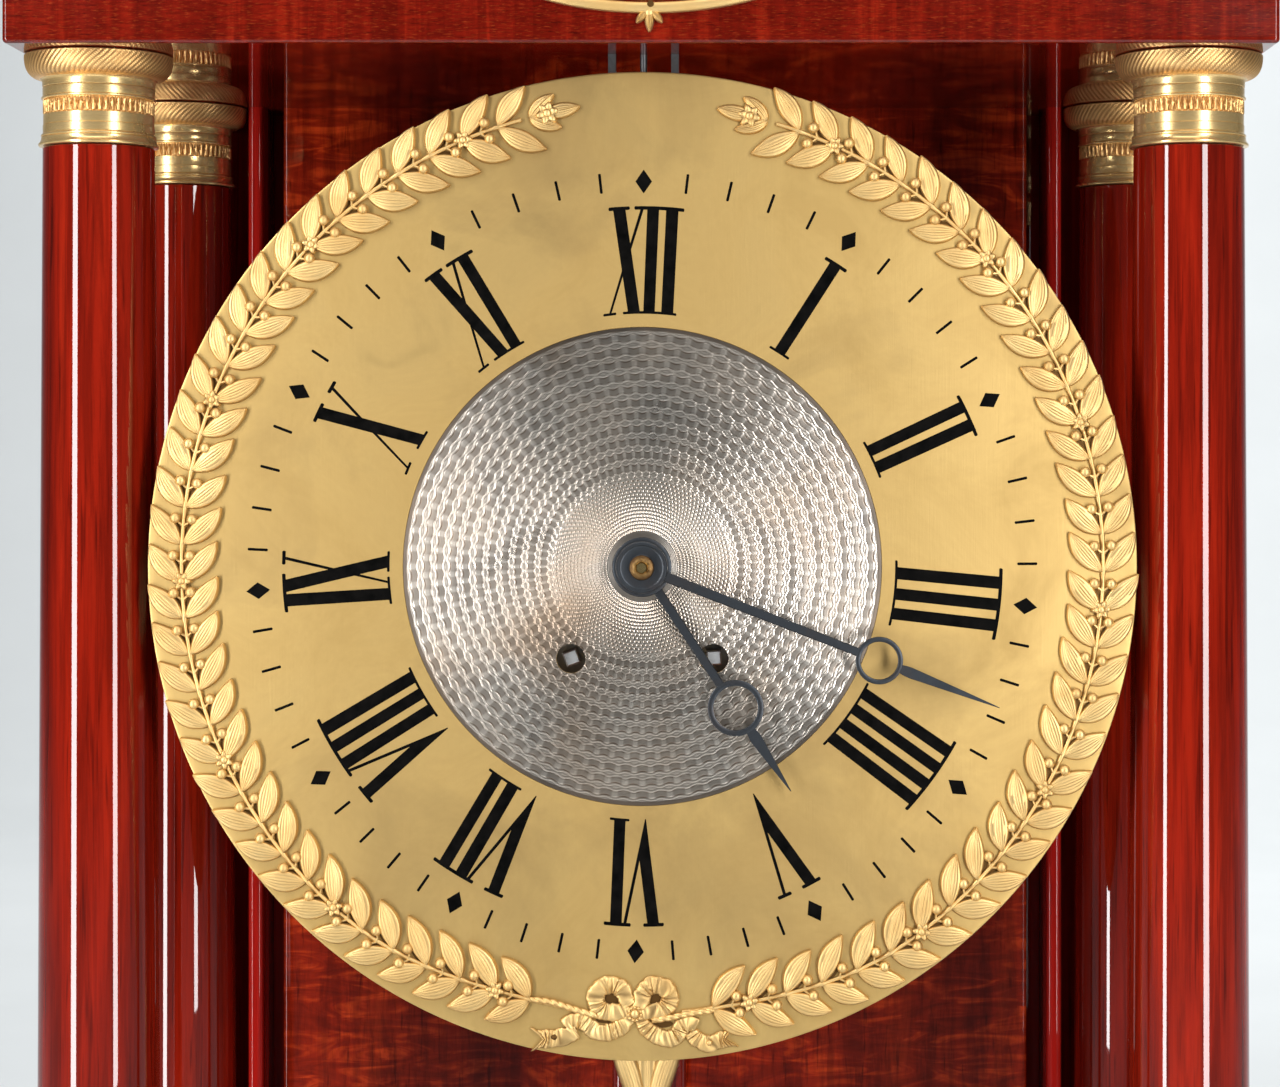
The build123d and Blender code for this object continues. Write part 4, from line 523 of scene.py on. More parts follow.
feet = Shell()
for fx in (-184, 184):
    for fy in (-86, 86):
        turned(feet, bore([(9.6, 0), (11.0, 0.02)] + arc(10.6, 5.9, 6.2, -68, 62, 22) + [(13.0, 11.7), (12.3, 12.0), (12.5, 12.25), (12.5, 14.0)], 2.0), fx, fy, 0.0, 128)
feet.build("bun_feet_turned", M["burnished"], "case", ["bun_feet"], "gilt_bronze", 30)

# ------------------------------------------------------------------ dial plate and numerals
plate = Shell()
dished(plate, on_dial, [(75.0, -2.5), (75.0, -0.12), (75.12, 0.0)] + [(r, 0.0) for r in np.linspace(76, 154.4, 40)]
       + [(154.7, -0.03), (154.92, -0.15), (155.0, -0.40), (155.0, -2.3), (154.8, -2.5)], segs=288)
prism(plate, on_dial, circle(75.0, 288), -2.5, -0.92, 0.0, [circle(5.2, 64), circle(4.6, 48, -22.4, -28.9), circle(4.6, 48, 22.4, -28.9)])
plate.build("dial_plate_gilt", M["dial"], "case", ["dial_plate"], "gilt_dial", 30)

STROKE, HAIR, NUM_R0, NUM_R1 = 3.65, 0.9, 79.2, 112.9
NUMERALS = {
    "I": ([(0, 0)], [], [], [], [(-4.0, 4.0)], [(-3.6, 3.6)]),
    "II": ([(-3.1, -2.85), (3.1, 2.85)], [], [], [], [(-7.0, 7.0)], [(-6.2, 6.2)]),
    "III": ([(-6.8, -6.4), (0.1, 0.1), (6.6, 6.3)], [], [], [], [(-11.4, 11.2)], [(-10.4, 10.2)]),
    "IIII": ([(-9.3, -8.5), (-3.1, -2.85), (3.1, 2.85), (9.3, 8.5)], [], [], [], [(-13.2, 13.2)], [(-11.9, 11.9)]),
    "V": ([], [], [], [(-4.1, 0.0, 5.1)], [(-7.4, -0.9), (2.8, 7.4)], []),
    "VI": ([(5.9, 5.3)], [], [], [(-5.9, -2.7, 3.2)], [(-9.2, -2.7), (1.2, 9.7)], [(2.3, 8.5)]),
    "VII": ([(2.7, 2.1), (8.9, 7.9)], [], [], [(-8.9, -5.9, 0.2)], [(-12.2, -5.7), (-1.8, 12.7)], [(-0.9, 11.1)]),
    "VIII": ([(-0.4, -1.0), (5.8, 4.8), (12.0, 10.5)], [], [], [(-12.0, -8.8, -2.9)], [(-15.3, -8.8), (-4.9, 15.8)], [(-4.0, 13.7)]),
    "IX": ([(-7.0, -6.0)], [(-2.6, 4.2)], [(6.4, -2.4)], [], [(-10.8, 1.4), (4.2, 8.6)], [(-9.2, -0.6), (0.9, 7.4)]),
    "X": ([], [(-3.9, 3.4)], [(5.1, -6.5)], [], [(-7.1, -0.7), (3.0, 7.2)], [(-8.6, -4.4), (0.2, 6.6)]),
    "XI": ([(5.35, 4.3)], [(-5.4, -0.4)], [(2.05, -7.9)], [], [(-8.7, -2.0), (-0.6, 9.1)], [(-10.1, -5.9), (-3.9, 7.2)]),
    "XII": ([(2.34, 1.3), (8.35, 7.0)], [(-8.4, -3.4)], [(-0.94, -10.9)], [], [(-11.7, -5.0), (-3.6, 12.1)], [(-13.0, -8.9), (-6.9, 9.9)]),
}


HOURS = [0.2, 32.4, 64.4, 95.9, 125.0, 153.4, 181.0, 209.2, 236.7, 266.4, 297.0, 327.9, 360.2]

# the numerals were set out by hand, some of them a little off their marks (degrees)
OFF_MARK = [0.35, 0.25, 0.7, 0.2, 0.95, 0.6, 0.25, -0.1, 0.0, 1.75, 0.4, -0.8]


def hour_angle(minute):
    h = minute // 5
    return math.radians(HOURS[h] + (HOURS[h + 1] - HOURS[h]) * (minute % 5) / 5)


def along(a, b, n):
    return [(a[0] + (b[0] - a[0]) * k / n, a[1] + (b[1] - a[1]) * k / n) for k in range(n)]


def stroke(corners, n=6):
    out = []
    for i, c in enumerate(corners):
        out += along(c, corners[(i + 1) % len(corners)], n if i % 2 else 2)
    return out


def pill(x0, x1, y0, y1):
    """A line with round ends."""
    r = (y1 - y0) / 2
    m = (y0 + y1) / 2
    n = max(2, int((x1 - x0) / 1.5))
    right = [(x1 - r * 0.7 + r * 0.7 * math.cos(a), m + r * math.sin(a)) for a in np.radians(np.linspace(-80, 80, 7))]
    left = [(x0 + r * 0.7 - r * 0.7 * math.cos(a), m - r * math.sin(a)) for a in np.radians(np.linspace(-80, 80, 7))]
    low = [(x, y0) for x in np.linspace(x0 + r * 0.7, x1 - r * 0.7, n)]
    return low + right + [(x, y1) for x, _ in reversed(low)] + left


inlay = Shell()
rng = random.Random(21)


def set_in(points, angle, radius, lift):
    p = np.asarray(points, float)
    y = p[:, 1] + radius
    x = p[:, 0]
    prism(inlay, on_dial, np.stack([x * math.cos(angle) + y * math.sin(angle), -x * math.sin(angle) + y * math.cos(angle)], -1), -0.35, lift)


for i, text in enumerate(["XII", "I", "II", "III", "IIII", "V", "VI", "VII", "VIII", "IX", "X", "XI"]):
    h = NUM_R1 - NUM_R0
    bars, thick, hair, vees, outer, inner = NUMERALS[text]
    shapes = []
    for top, foot in bars + thick:
        w = STROKE / 2 + rng.uniform(-0.06, 0.10)
        shapes.append((stroke([(foot - w, 0.3), (foot + w, 0.3), (top + w * 1.03, h - 0.3), (top - w * 1.03, h - 0.3)]), 0.030))
    for top, foot in hair:
        shapes.append((stroke([(foot - 0.36, 0.3), (foot + 0.36, 0.3), (top + 0.5, h - 0.3), (top - 0.5, h - 0.3)]), 0.024))
    for top, point, fine in vees:
        left, right = top + STROKE / 2, fine - HAIR * 0.55
        f = (STROKE + 0.6) / (right - left + STROKE + 0.6)
        notch = (point - 0.8 + (right - point + 0.8) * f, h * f)
        pts = [(point, -0.1)] + along((point + 0.16, 0.1), (fine + HAIR * 0.55, h - 0.3), 6) + [(fine + HAIR * 0.55, h - 0.3)]
        pts += along((right, h - 0.3), notch, 5) + along(notch, (left, h - 0.3), 5) + [(left, h - 0.3)]
        pts += along((top - STROKE / 2, h - 0.3), (point - 0.16, 0.1), 6) + [(point - 0.16, 0.1)]
        shapes.append((pts, 0.030))
    for lines, y0, y1 in ((outer, h - 1.1, h), (inner, 0, 0.8)):
        for x0, x1 in lines:
            shapes.append((pill(x0, x1, y0, y1), 0.036))
    for pts, lift in shapes:
        set_in([(x, y - x * x / (2 * (NUM_R0 + y))) for x, y in pts], hour_angle(5 * i) + math.radians(OFF_MARK[i]), NUM_R0, lift)
for minute in range(60):
    if minute % 5 == 0:
        turn = rng.uniform(-0.10, 0.10)
        pts = stroke([(0, -3.75), (2.6, 0), (0, 3.75), (-2.6, 0)], 2)
        pts = [(x * math.cos(turn) - y * math.sin(turn), x * math.sin(turn) + y * math.cos(turn)) for x, y in pts]
    else:
        pts = [(-b, a) for a, b in pill(-3.15, 3.15, -0.43, 0.43)]
    set_in(pts, hour_angle(minute), 120.6, 0.03)
inlay.build("numerals_and_marks", M["wax"], "case", ["chapter_inlay"], "black_wax", 50)

# ------------------------------------------------------------------ engine-turned centre
NA = 1014
radii = [5.2, 5.5, 9.0, 9.2] + list(np.arange(9.3, 11.0, 0.11)) + list(np.arange(11.05, 73.9, 0.172)) + [74.1, 74.5, 74.9]
rr = np.array(radii)[:, None]
tt = np.linspace(0, 2 * math.pi, NA, endpoint=False)[None, :]
ROW, CELLS, START = 4.07, 78, 28.0


def guilloche(r, t):
    """Height of the cutting and the shade painted on it: pairs of waved lines with squares between them outside, rings
    of grains inside. The shade is painted darker beside the lines, in the squares and on the grains.
    """
    v = (r - START) / ROW
    row = np.floor(v)
    f = v - row
    turn = np.where(np.mod(row, 2) < 1, 0.0, math.pi)
    wave = np.cos(CELLS * t + turn)
    line = np.zeros(np.broadcast(r, t).shape)
    flank = np.zeros(line.shape)
    for at in (0.08 + 0.080 * wave, 0.39 - 0.080 * wave, 1.08 - 0.080 * wave):
        line = np.maximum(line, np.exp(-((f - at) / 0.055) ** 2))
        flank = np.maximum(flank, np.maximum(np.exp(-((f - at + 0.105) / 0.052) ** 2), 0.75 * np.exp(-((f - at - 0.105) / 0.052) ** 2)))
    u = np.mod(CELLS * t / (2 * math.pi) + turn / (2 * math.pi), 1.0)
    between = np.clip((f - 0.42) / 0.08, 0, 1) * np.clip((1.02 - f) / 0.08, 0, 1)
    tick = np.exp(-((u - 0.5) / 0.075) ** 2) * between
    lean = np.where(np.mod(row, 2) < 1, 1.0, -1.0)
    square = ((f - 0.72) * lean * 0.75 + (np.abs(u - 0.5) - 0.25) * lean * 0.35) * between
    eyelet = (u - 0.5) * (1 - between) * 0.45 * lean
    outer = np.clip(0.50 + square + eyelet + 0.35 * tick + 0.40 * line - 0.40 * flank, 0, 1)
    field = between * np.clip((np.abs(u - 0.5) - 0.13) / 0.08, 0, 1)
    # painted shade: the squares and the flank beside each line are darkened, standing for the shade the cuts throw; the
    # grains inside are darkened the same way below
    painted_shade = np.clip(0.40 * field + 0.62 * flank * (1 - line) + 0.03, 0, 1)
    q = (r - 11.0) / 1.1
    ring = np.floor(q)
    s = np.cos(112 * t + np.where(np.mod(ring, 2) < 1, 0.0, math.pi))
    grain = np.clip((0.5 - 0.5 * np.cos(2 * math.pi * q)) * (0.5 + 0.5 * s) * 1.5 - 0.15, 0, 1)
    height = np.where(r < START, 0.95 - 0.75 * grain, outer)
    shade = np.where(r < START, grain * 1.0 + 0.03, painted_shade)
    rim = (r > 11.0) & (r < 73.8)
    hub = 0.75 + 0.14 * np.cos(2 * math.pi * r / 0.44)
    return np.where(rim, height, np.where(r < 11.0, hub, 0.8)), np.where(rim, shade, np.where(r < 11.0, 0.10, 0.75))


cut, painted_shade = guilloche(rr, tt)
cut, painted_shade = cut * np.ones((len(radii), NA)), painted_shade * np.ones((len(radii), NA))
X, Z = rr * np.sin(tt), rr * np.cos(tt)
D = -0.10 + 0.17 * cut
centre = bmesh.new()
keep = np.ones(X.shape, bool)
for hx in (-22.4, 22.4):
    keep &= np.hypot(X - hx, Z + 28.9) > 4.62
nu, nv = X.shape
quads = net(nu, nv, False, True)
flat_keep = keep.ravel()
good = flat_keep[quads].all(1)
edge_v = np.zeros(nu * nv, bool)
edge_v[quads[~good].ravel()] = True
edge_v &= flat_keep
px, pz, pd = X.ravel().copy(), Z.ravel().copy(), D.ravel().copy()
for hx in (-22.4, 22.4):
    q = np.hypot(px - hx, pz + 28.9)
    sel = edge_v & (q < 6.5)
    px[sel] = hx + (px[sel] - hx) * 4.62 / q[sel]
    pz[sel] = -28.9 + (pz[sel] + 28.9) * 4.62 / q[sel]
    pd[sel] = 0.03
used = np.unique(quads[good])
remap = -np.ones(nu * nv, int)
remap[used] = np.arange(len(used))
co = on_dial(px[used], pz[used], pd[used]) * MM
mesh = bpy.data.meshes.new("engine_turned_centre")
mesh.from_pydata(co.tolist(), [], remap[quads[good]].tolist())
layer = mesh.attributes.new("hollow", "FLOAT", "POINT")
layer.data.foreach_set("value", painted_shade.ravel()[used].astype(np.float32))
centre.from_mesh(mesh)
rim = [e for e in centre.edges if e.is_boundary]
made = bmesh.ops.extrude_edge_only(centre, edges=rim)["geom"]
for v in made:
    if isinstance(v, bmesh.types.BMVert):
        v.co.y = (DIAL_Y + 0.88) * MM
low = [e for e in made if isinstance(e, bmesh.types.BMEdge) and e.is_boundary]
bmesh.ops.triangle_fill(centre, edges=low, use_beauty=True)
bmesh.ops.recalc_face_normals(centre, faces=centre.faces)
centre.to_mesh(mesh)
centre.free()
mesh.polygons.foreach_set("use_smooth", [True] * len(mesh.polygons))
mesh.set_sharp_from_angle(angle=math.radians(75))
mesh.materials.append(M["silver"])
silver = bpy.data.objects.new("engine_turned_centre", mesh)
bpy.context.scene.collection.objects.link(silver)
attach(silver, "case")
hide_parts("dial_centre")

# ------------------------------------------------------------------ hands
def hand(name, angle, length, ring_at, ring_out, ring_in, shank, tip, boss, d0, d1, body, node):
    """A pierced hand; d0 and d1 are its rear and front, in front of the dial's face."""
    s = Shell()
    a = math.radians(angle)

    def to(x, z, d):
        x, z = np.asarray(x, float), np.asarray(z, float)
        return on_dial(x * math.sin(a) + z * math.cos(a), x * math.cos(a) - z * math.sin(a), d)

    mid = (ring_out + ring_in) / 2
    reach = ring_at - mid
    n = 8
    prism(s, to, [(boss[0] + (reach - boss[0]) * k / n, -(shank[0] + (shank[1] - shank[0]) * k / n) / 2) for k in range(n + 1)]
          + [(boss[0] + (reach - boss[0]) * k / n, (shank[0] + (shank[1] - shank[0]) * k / n) / 2) for k in range(n, -1, -1)], d0, d1 - 0.04, 0.32)
    b = 0.34
    dished(s, to, [(ring_in, d0), (ring_in, d1 - b), (ring_in + 0.12, d1 - 0.1), (ring_in + b, d1), (ring_out - b, d1), (ring_out - 0.12, d1 - 0.1), (ring_out, d1 - b), (ring_out, d0)], ring_at, 0.0, 96)
    start = ring_at + mid
    side = [(start, tip * 0.36), (start + 1.2, tip * 0.43), (start + 2.6, tip * 0.49), (start + 4.0, tip * 0.5)]
    side += [(start + 4.0 + (length - start - 4.0) * k, tip * 0.5 * (1 - k) ** 0.92 + 0.10 * k) for k in np.linspace(0.08, 1, 12)]
    prism(s, to, [(x, -w) for x, w in side] + [(x, w) for x, w in reversed(side)], d0, d1 - 0.04, 0.09)
    dished(s, to, boss[1], 0.0, 0.0, 128)
    s.build(name, M["blued"], body, [node], "blued_steel", 28)


hand("hour_hand_blued", 146.4, 84.0, 52.8, 8.8, 6.9, (2.95, 2.7), 3.7,
     (8.6, [(3.7, 3.4), (3.7, 4.8), (3.9, 5.0), (6.8, 5.0), (7.4, 5.1), (8.7, 5.1), (9.1, 4.95), (9.3, 4.6), (9.3, 3.4)]), 3.4, 4.6, "hour", "hour_hand")
hand("minute_hand_blued", 111.4, 119.4, 79.3, 7.4, 5.85, (3.2, 2.6), 3.35,
     (7.4, [(2.3, 6.6), (2.3, 8.3), (3.7, 8.3), (4.1, 7.95), (6.3, 7.85), (6.75, 8.0), (7.0, 8.25), (7.3, 8.32), (7.7, 8.25), (8.0, 8.0), (8.1, 7.6), (8.1, 6.6)]), 6.6, 7.8, "minute", "minute_hand")
collet = Shell()


def worn(t, r, d):
    hollow = np.clip((r - 2.5) / 0.7, 0, 1) * 0.9 + 0.35 * (0.5 + 0.5 * np.cos(6 * t)) * (r < 2.2)
    return r + 0.07 * np.cos(6 * t) * (r > 1.0) * (r < 2.6), d + 0 * r, np.clip(hollow + 0 * d, 0, 1)


dished(collet, on_dial, [(1.66, 8.45), (1.66, 9.50), (1.72, 9.58), (1.85, 9.66), (2.3, 9.7), (2.6, 9.5), (2.9, 9.3), (3.3, 9.25), (3.6, 9.12), (3.8, 8.9), (3.9, 8.6), (3.85, 8.32), (2.0, 8.31), (1.75, 8.34)], segs=96, lobes=worn)
collet.build("hand_collet_turned", M["rusty"], "minute", ["hand_collet"], "brass", 40)
pin = Shell()
dished(pin, on_dial, [(0.05, 8.7), (0.05, 9.62), (0.25, 9.6), (0.42, 9.5), (0.52, 9.3), (0.53, 8.7)], segs=32)
pin.build("hand_collet_pin", M["steel"], "minute", (), "steel", 40)

# ------------------------------------------------------------------ laurel branches
LS = np.array([0, 0.08, 0.18, 0.30, 0.40, 0.50, 0.62, 0.72, 0.82, 0.92, 1.0])
LP = np.array([-0.14, 0.05, 0.06, -0.12, 0.04, 0.05, -0.12, 0.03, 0.02, 0.06, -0.10])
LH = np.array([0.55, 0.0, 0.05, 0.42, 0.05, 0.05, 0.42, 0.05, 0.10, 0.0, 0.10])
LEAF_S = np.concatenate([-LS[:0:-1], LS])
LEAF_P, LEAF_H = np.concatenate([LP[:0:-1], LP]), np.concatenate([LH[:0:-1], LH])


def leaf(shell, to, base, heading, bend, length, width, rise=(0.85, 0.5), nt=24, limit=None, lean=0.0, fat=0.82, wall=0.45, blunt=0.66):
    """A veined leaf with sloping sides. heading is its direction at the base, bend how far it turns along its length."""
    t = np.linspace(0, 1, nt)
    h = heading + bend * t
    step = length / (nt - 1)
    px = base[0] + np.concatenate([[0], np.cumsum(np.cos((h[1:] + h[:-1]) / 2) * step)])
    pz = base[1] + np.concatenate([[0], np.cumsum(np.sin((h[1:] + h[:-1]) / 2) * step)])
    w = (width / 2 - wall) * np.sin(math.pi * np.clip(t, 0.012, 0.992) ** fat) ** blunt
    amp = np.sin(math.pi * np.clip(t, 0.02, 0.98))[:, None] ** 0.5
    across = w[:, None] * LEAF_S[None, :]
    d = (rise[0] + rise[1] * (1 - LEAF_S[None, :] ** 2)) * (0.62 + 0.38 * amp) + LEAF_P[None, :] * amp
    d = np.maximum(d + lean * (t[:, None] - 0.35), 0.15)
    hollow = LEAF_H[None, :] * amp + 0.5 * np.clip(1 - t[:, None] / 0.10, 0, 1)
    if wall:
        # the sides splay outwards down to the ground
        edge = wall * (0.35 + 0.65 * np.sqrt(amp))
        across = np.concatenate([across[:, :1] - edge, across[:, :1] - 0.22 * edge, across, across[:, -1:] + 0.22 * edge, across[:, -1:] + edge], 1)
        d = np.concatenate([0.06 + 0 * edge, d[:, :1] - 0.18, d, d[:, -1:] - 0.18, 0.06 + 0 * edge], 1)
        hollow = np.concatenate([0.45 + 0 * edge, 0.10 + 0 * edge, hollow, 0.10 + 0 * edge, 0.45 + 0 * edge], 1)
    x = px[:, None] - np.sin(h)[:, None] * across
    z = pz[:, None] + np.cos(h)[:, None] * across
    if limit is not None:
        r = np.hypot(x, z)
        k = np.where(r > limit - 1.5, (limit - 1.5 + 1.5 * np.tanh((r - limit + 1.5) / 1.5)) / r, 1.0)
        x, z = x * k, z * k
    patch(shell, to, x, z, np.maximum(d, 0.05), hollow=np.clip(hollow, 0, 1))


def rosette(shell, to, cx, cz, r, petals=6, height=1.9, button=0.42, turn=0.0):
    """A small flower with a riveted middle."""
    def lobes(t, rad, d):
        c = np.cos(petals * (t + turn))
        k = rad / r
        return rad * (1 + 0.16 * c * k), d + 0.22 * c * k * (d > 0.3), np.clip(0.75 * (0.5 - 0.5 * c) * k, 0, 1)

    dished(shell, to, [(0.12 * r, -0.05), (0.12 * r, height * 0.72), (0.3 * r, height * 0.70), (0.55 * r, height * 0.86), (0.78 * r, height * 0.88), (0.93 * r, height * 0.7), (r, height * 0.45), (r, -0.05)], cx, cz, petals * 12, lobes)
    b = button * r
    dished(shell, to, [(0.06 * b, 0.2), (0.06 * b, height * 1.12), (0.45 * b, height * 1.08), (0.8 * b, height * 0.96), (b, height * 0.78), (b, 0.2)], cx, cz, 28)


wreath = Shell()
for m, a0, a1, pitch, count in ((1, 194.6, 350.9, 4.60, 33), (-1, 189.1, 348.8, 4.72, 33)):
    def to(x, z, d, m=m):
        return on_dial(m * np.asarray(x, float), z, d)

    def stem_r(a):
        p = np.clip((np.asarray(a, float) - a0) / (a1 - a0), 0, 1)
        q = np.clip(p / 0.16, 0, 1)
        return 140.0 + 3.7 * q * q * (3 - 2 * q) + 1.2 * p

    last = a0 + pitch * (count - 1)
    aa = np.linspace(a0 - 4.0, last + 3.0, 33 * 9)
    ra = np.radians(aa)
    near = np.abs(np.mod((aa - a0) / pitch + 0.5, 1.0) - 0.5)
    r = stem_r(aa)
    tube(wreath, to(r * np.sin(ra), r * np.cos(ra), 0.55 + 0.15 * np.exp(-(near / 0.12) ** 2)), 0.66 + 0.25 * np.exp(-(near / 0.09) ** 2), 10, 1.0)
    for i in range(count):
        a = a0 + pitch * i
        t = math.radians(a)
        r = float(stem_r(a))
        jig = rng.uniform(-1, 1)
        for side, length, splay in ((-1, 16.3, 53), (1, 15.6, 49)):
            phi = math.radians(splay + 2.0 * jig)
            base = (r * math.sin(t) + side * 0.22 * math.sin(t), r * math.cos(t) + side * 0.22 * math.cos(t))
            leaf(wreath, to, base, -t + side * phi, -side * math.radians(21), length * rng.uniform(0.97, 1.03), 7.0 * rng.uniform(0.96, 1.04), (1.65, 0.55), 26, 156.4, 0.35, 0.95, 0.45, 0.86)
        if i + 1 < count:
            ab = math.radians(a + 0.69 * pitch)
            for side in (-1, 1):
                rb = float(stem_r(a + 0.69 * pitch)) + side * 2.65
                p = to(rb * math.sin(ab), rb * math.cos(ab), 1.25)
                ball(wreath, p, 1.72, (1, 0.95, 1), 12, 18)
                bs = math.radians(a + 0.50 * pitch)
                rm = rb - side * 1.0
                tube(wreath, np.stack([to((rb - side * 2.5) * math.sin(bs), (rb - side * 2.5) * math.cos(bs), 0.8), to(rm * math.sin((ab + bs) / 2), rm * math.cos((ab + bs) / 2), 0.9), p]), 0.40, 6)
                # painted shadow: a dark flat patch on the ground between stem and leaf stands for the shade in the gap
                k = np.linspace(0, 1, 9)
                aw = np.radians(a + pitch * (0.08 + 0.50 * k))[:, None]
                rw = stem_r(a)[()] + side * (1.05 + 1.15 * k[:, None] + (0.40 + 0.95 * np.sin(math.pi * np.clip(k, 0.06, 0.94)))[:, None] * np.linspace(-1, 1, 5)[None, :])
                patch(wreath, to, rw * np.sin(aw), rw * np.cos(aw), 0.22 + 0 * rw, hollow=np.ones(rw.shape))
        if i % 5 == 1:
            rosette(wreath, to, r * math.sin(t), r * math.cos(t), 2.7, 6, 2.25, 0.46, t)
    # the branch ends in a bud
    a = last + pitch * 0.9
    t = math.radians(a)
    r = float(stem_r(a))
    p0 = (r * math.sin(t), r * math.cos(t))
    for side in (-1, 1):
        leaf(wreath, to, p0, -t + side * 0.75, -side * 0.45, 10.5, 4.8, (1.2, 0.5), 20, 156.4)
    leaf(wreath, to, (p0[0] + 5.0 * math.cos(t), p0[1] - 5.0 * math.sin(t)), -t - 0.03, 0.0, 11.0, 5.2, (1.2, 0.5), 20, 156.4)
    rosette(wreath, to, p0[0] + 5.6 * math.cos(t), p0[1] - 5.6 * math.sin(t), 3.3, 6, 2.3, 0.42, t)
wreath.build("laurel_branches_chased", M["gilt"], "case", ["laurel_branches"], "gilt_bronze", 48)

# ------------------------------------------------------------------ ribbon bow
bow = Shell()


def from_crop(points):
    return [(0.05993 * a - 49.75, -0.05993 * b - 123.34) for a, b in points]


def slab(shell, to, x, z, d, foot=-0.05, hollow=None):
    """A raised strip whose walls follow its whole outline, so that its ends may be notched."""
    nu, nv = x.shape
    i = np.arange(nu * nv).reshape(nu, nv)
    low = i + nu * nv
    ring = np.concatenate([i[0, :-1], i[:-1, -1], i[-1, :0:-1], i[:0:-1, 0]])
    under = ring + nu * nv
    walls = np.stack([ring, np.roll(ring, -1), np.roll(under, -1), under], -1)
    q = net(nu, nv)
    h = np.zeros((nu, nv)) if hollow is None else hollow
    shell.add(np.concatenate([to(x, z, d).reshape(-1, 3), to(x, z, foot + 0 * x).reshape(-1, 3)]), np.concatenate([q, q[:, ::-1] + nu * nv, walls]), (), np.concatenate([h.ravel(), 0.6 * np.ones(nu * nv)]))


def ribbon(points, width, base=0.9, crown=0.35, pleat=2.6, swallow=0.0, ends=(1.0, 1.0), phase=0.0):
    """A folded ribbon; its creases come at uneven intervals and fan across it."""
    p, run = smooth_path(from_crop(points), 40)
    n = int(run[-1] / 0.2)
    p, run = smooth_path(from_crop(points), n)
    tan = np.gradient(p, axis=0)
    tan /= np.linalg.norm(tan, axis=1)[:, None]
    nor = np.stack([-tan[:, 1], tan[:, 0]], -1)
    s = np.linspace(-1, 1, 13)
    f = run / run[-1]
    w = width / 2 * (ends[0] + (1 - ends[0]) * np.clip(f / 0.2, 0, 1)) * (ends[1] + (1 - ends[1]) * np.clip((1 - f) / 0.2, 0, 1))
    w = w * (1 + 0.05 * np.sin(run * 1.3 + phase) + 0.03 * np.sin(run * 3.1 + 2 * phase))
    x = p[:, 0:1] + nor[:, 0:1] * w[:, None] * s[None, :]
    z = p[:, 1:2] + nor[:, 1:2] * w[:, None] * s[None, :]
    if swallow:
        k = np.clip((run - (run[-1] - 6.0)) / 6.0, 0, 1)[:, None] ** 1.2
        back = -swallow * (1 - np.abs(s))[None, :] * k
        x, z = x + tan[:, 0:1] * back, z + tan[:, 1:2] * back
    u = run[:, None] / pleat + 0.45 * np.sin(run[:, None] * 0.55 + phase) + 0.20 * s[None, :] * np.sin(run[:, None] * 0.4 + phase)
    fold = 0.62 * np.cos(2 * math.pi * u + phase) + 0.38 * np.cos(4.9 * math.pi * u + 1.3 * phase)
    rim = np.exp(-((np.abs(s) - 0.92) / 0.08) ** 2)[None, :]
    d = base + crown * (1 - s[None, :] ** 2) + 0.34 * fold * (1 - 0.7 * rim) - 0.25 * (np.abs(s) > 0.99)[None, :]
    slab(bow, on_dial, x, z, np.maximum(d, 0.3), hollow=np.clip((0.35 - 0.65 * fold) * 0.62 * (1 - rim), 0, 1))


ribbon([(782, 268), (725, 268), (665, 270), (618, 262), (590, 225), (588, 180), (620, 138), (680, 128), (728, 158), (750, 212), (780, 262)], 5.6, 1.0, 0.5, 2.9, ends=(0.75, 0.7), phase=0.4)
ribbon([(802, 262), (826, 212), (838, 165), (878, 130), (938, 138), (975, 178), (968, 226), (930, 262), (880, 270), (815, 276)], 5.6, 1.0, 0.5, 3.1, ends=(0.75, 0.7), phase=1.7)
ribbon([(775, 300), (720, 348), (650, 376), (590, 372), (545, 338), (505, 314), (455, 320), (432, 344)], 5.4, 0.9, 0.5, 2.7, ends=(0.6, 0.9), phase=2.6)
ribbon([(490, 372), (430, 396), (370, 408), (310, 410), (245, 412)], 5.6, 1.0, 0.4, 3.4, swallow=4.0, ends=(0.75, 1.30), phase=0.9)
ribbon([(812, 305), (850, 352), (905, 392), (965, 410), (1015, 390), (1035, 350), (1075, 328), (1112, 344)], 5.4, 0.9, 0.5, 2.8, ends=(0.6, 0.9), phase=4.0)
ribbon([(1078, 372), (1120, 414), (1180, 436), (1240, 416), (1325, 400)], 5.2, 1.0, 0.4, 3.0, swallow=3.6, ends=(0.75, 1.15), phase=5.2)
for pts, phase in (([(240, 200), (350, 215), (480, 255), (600, 290)], 0.0), ([(1205, 258), (1080, 275), (960, 300), (880, 312)], 1.0)):
    p, run = smooth_path(from_crop(pts), 90)
    tan = np.gradient(p, axis=0)
    tan /= np.linalg.norm(tan, axis=1)[:, None]
    nor = np.stack([-tan[:, 1], tan[:, 0]], -1)
    for k in (0, math.pi):
        ph = run * 1.25 + k + phase
        q = p + nor * (0.34 * np.cos(ph))[:, None]
        tube(bow, on_dial(q[:, 0], q[:, 1], 0.95 + 0.30 * np.sin(ph)), 0.74 * np.clip(np.minimum(run, run[-1] - run) / 2.0 + 0.5, 0.5, 1), 10)
kx, kz = from_crop([(792, 275)])[0]
dished(bow, on_dial, [(0.3, -0.05), (0.3, 1.7), (1.6, 1.7), (2.3, 1.55), (2.7, 1.1), (2.75, -0.05)], kx, kz, 48)
for k in range(11):
    a = 2 * math.pi * k / 11
    ball(bow, on_dial(kx + 2.05 * math.sin(a), kz + 2.05 * math.cos(a), 1.75), 0.52, nu=7, nv=10)
dished(bow, on_dial, [(0.1, 0.5), (0.1, 2.75), (0.6, 2.68), (1.1, 2.45), (1.45, 2.0), (1.5, 0.5)], kx, kz, 32)
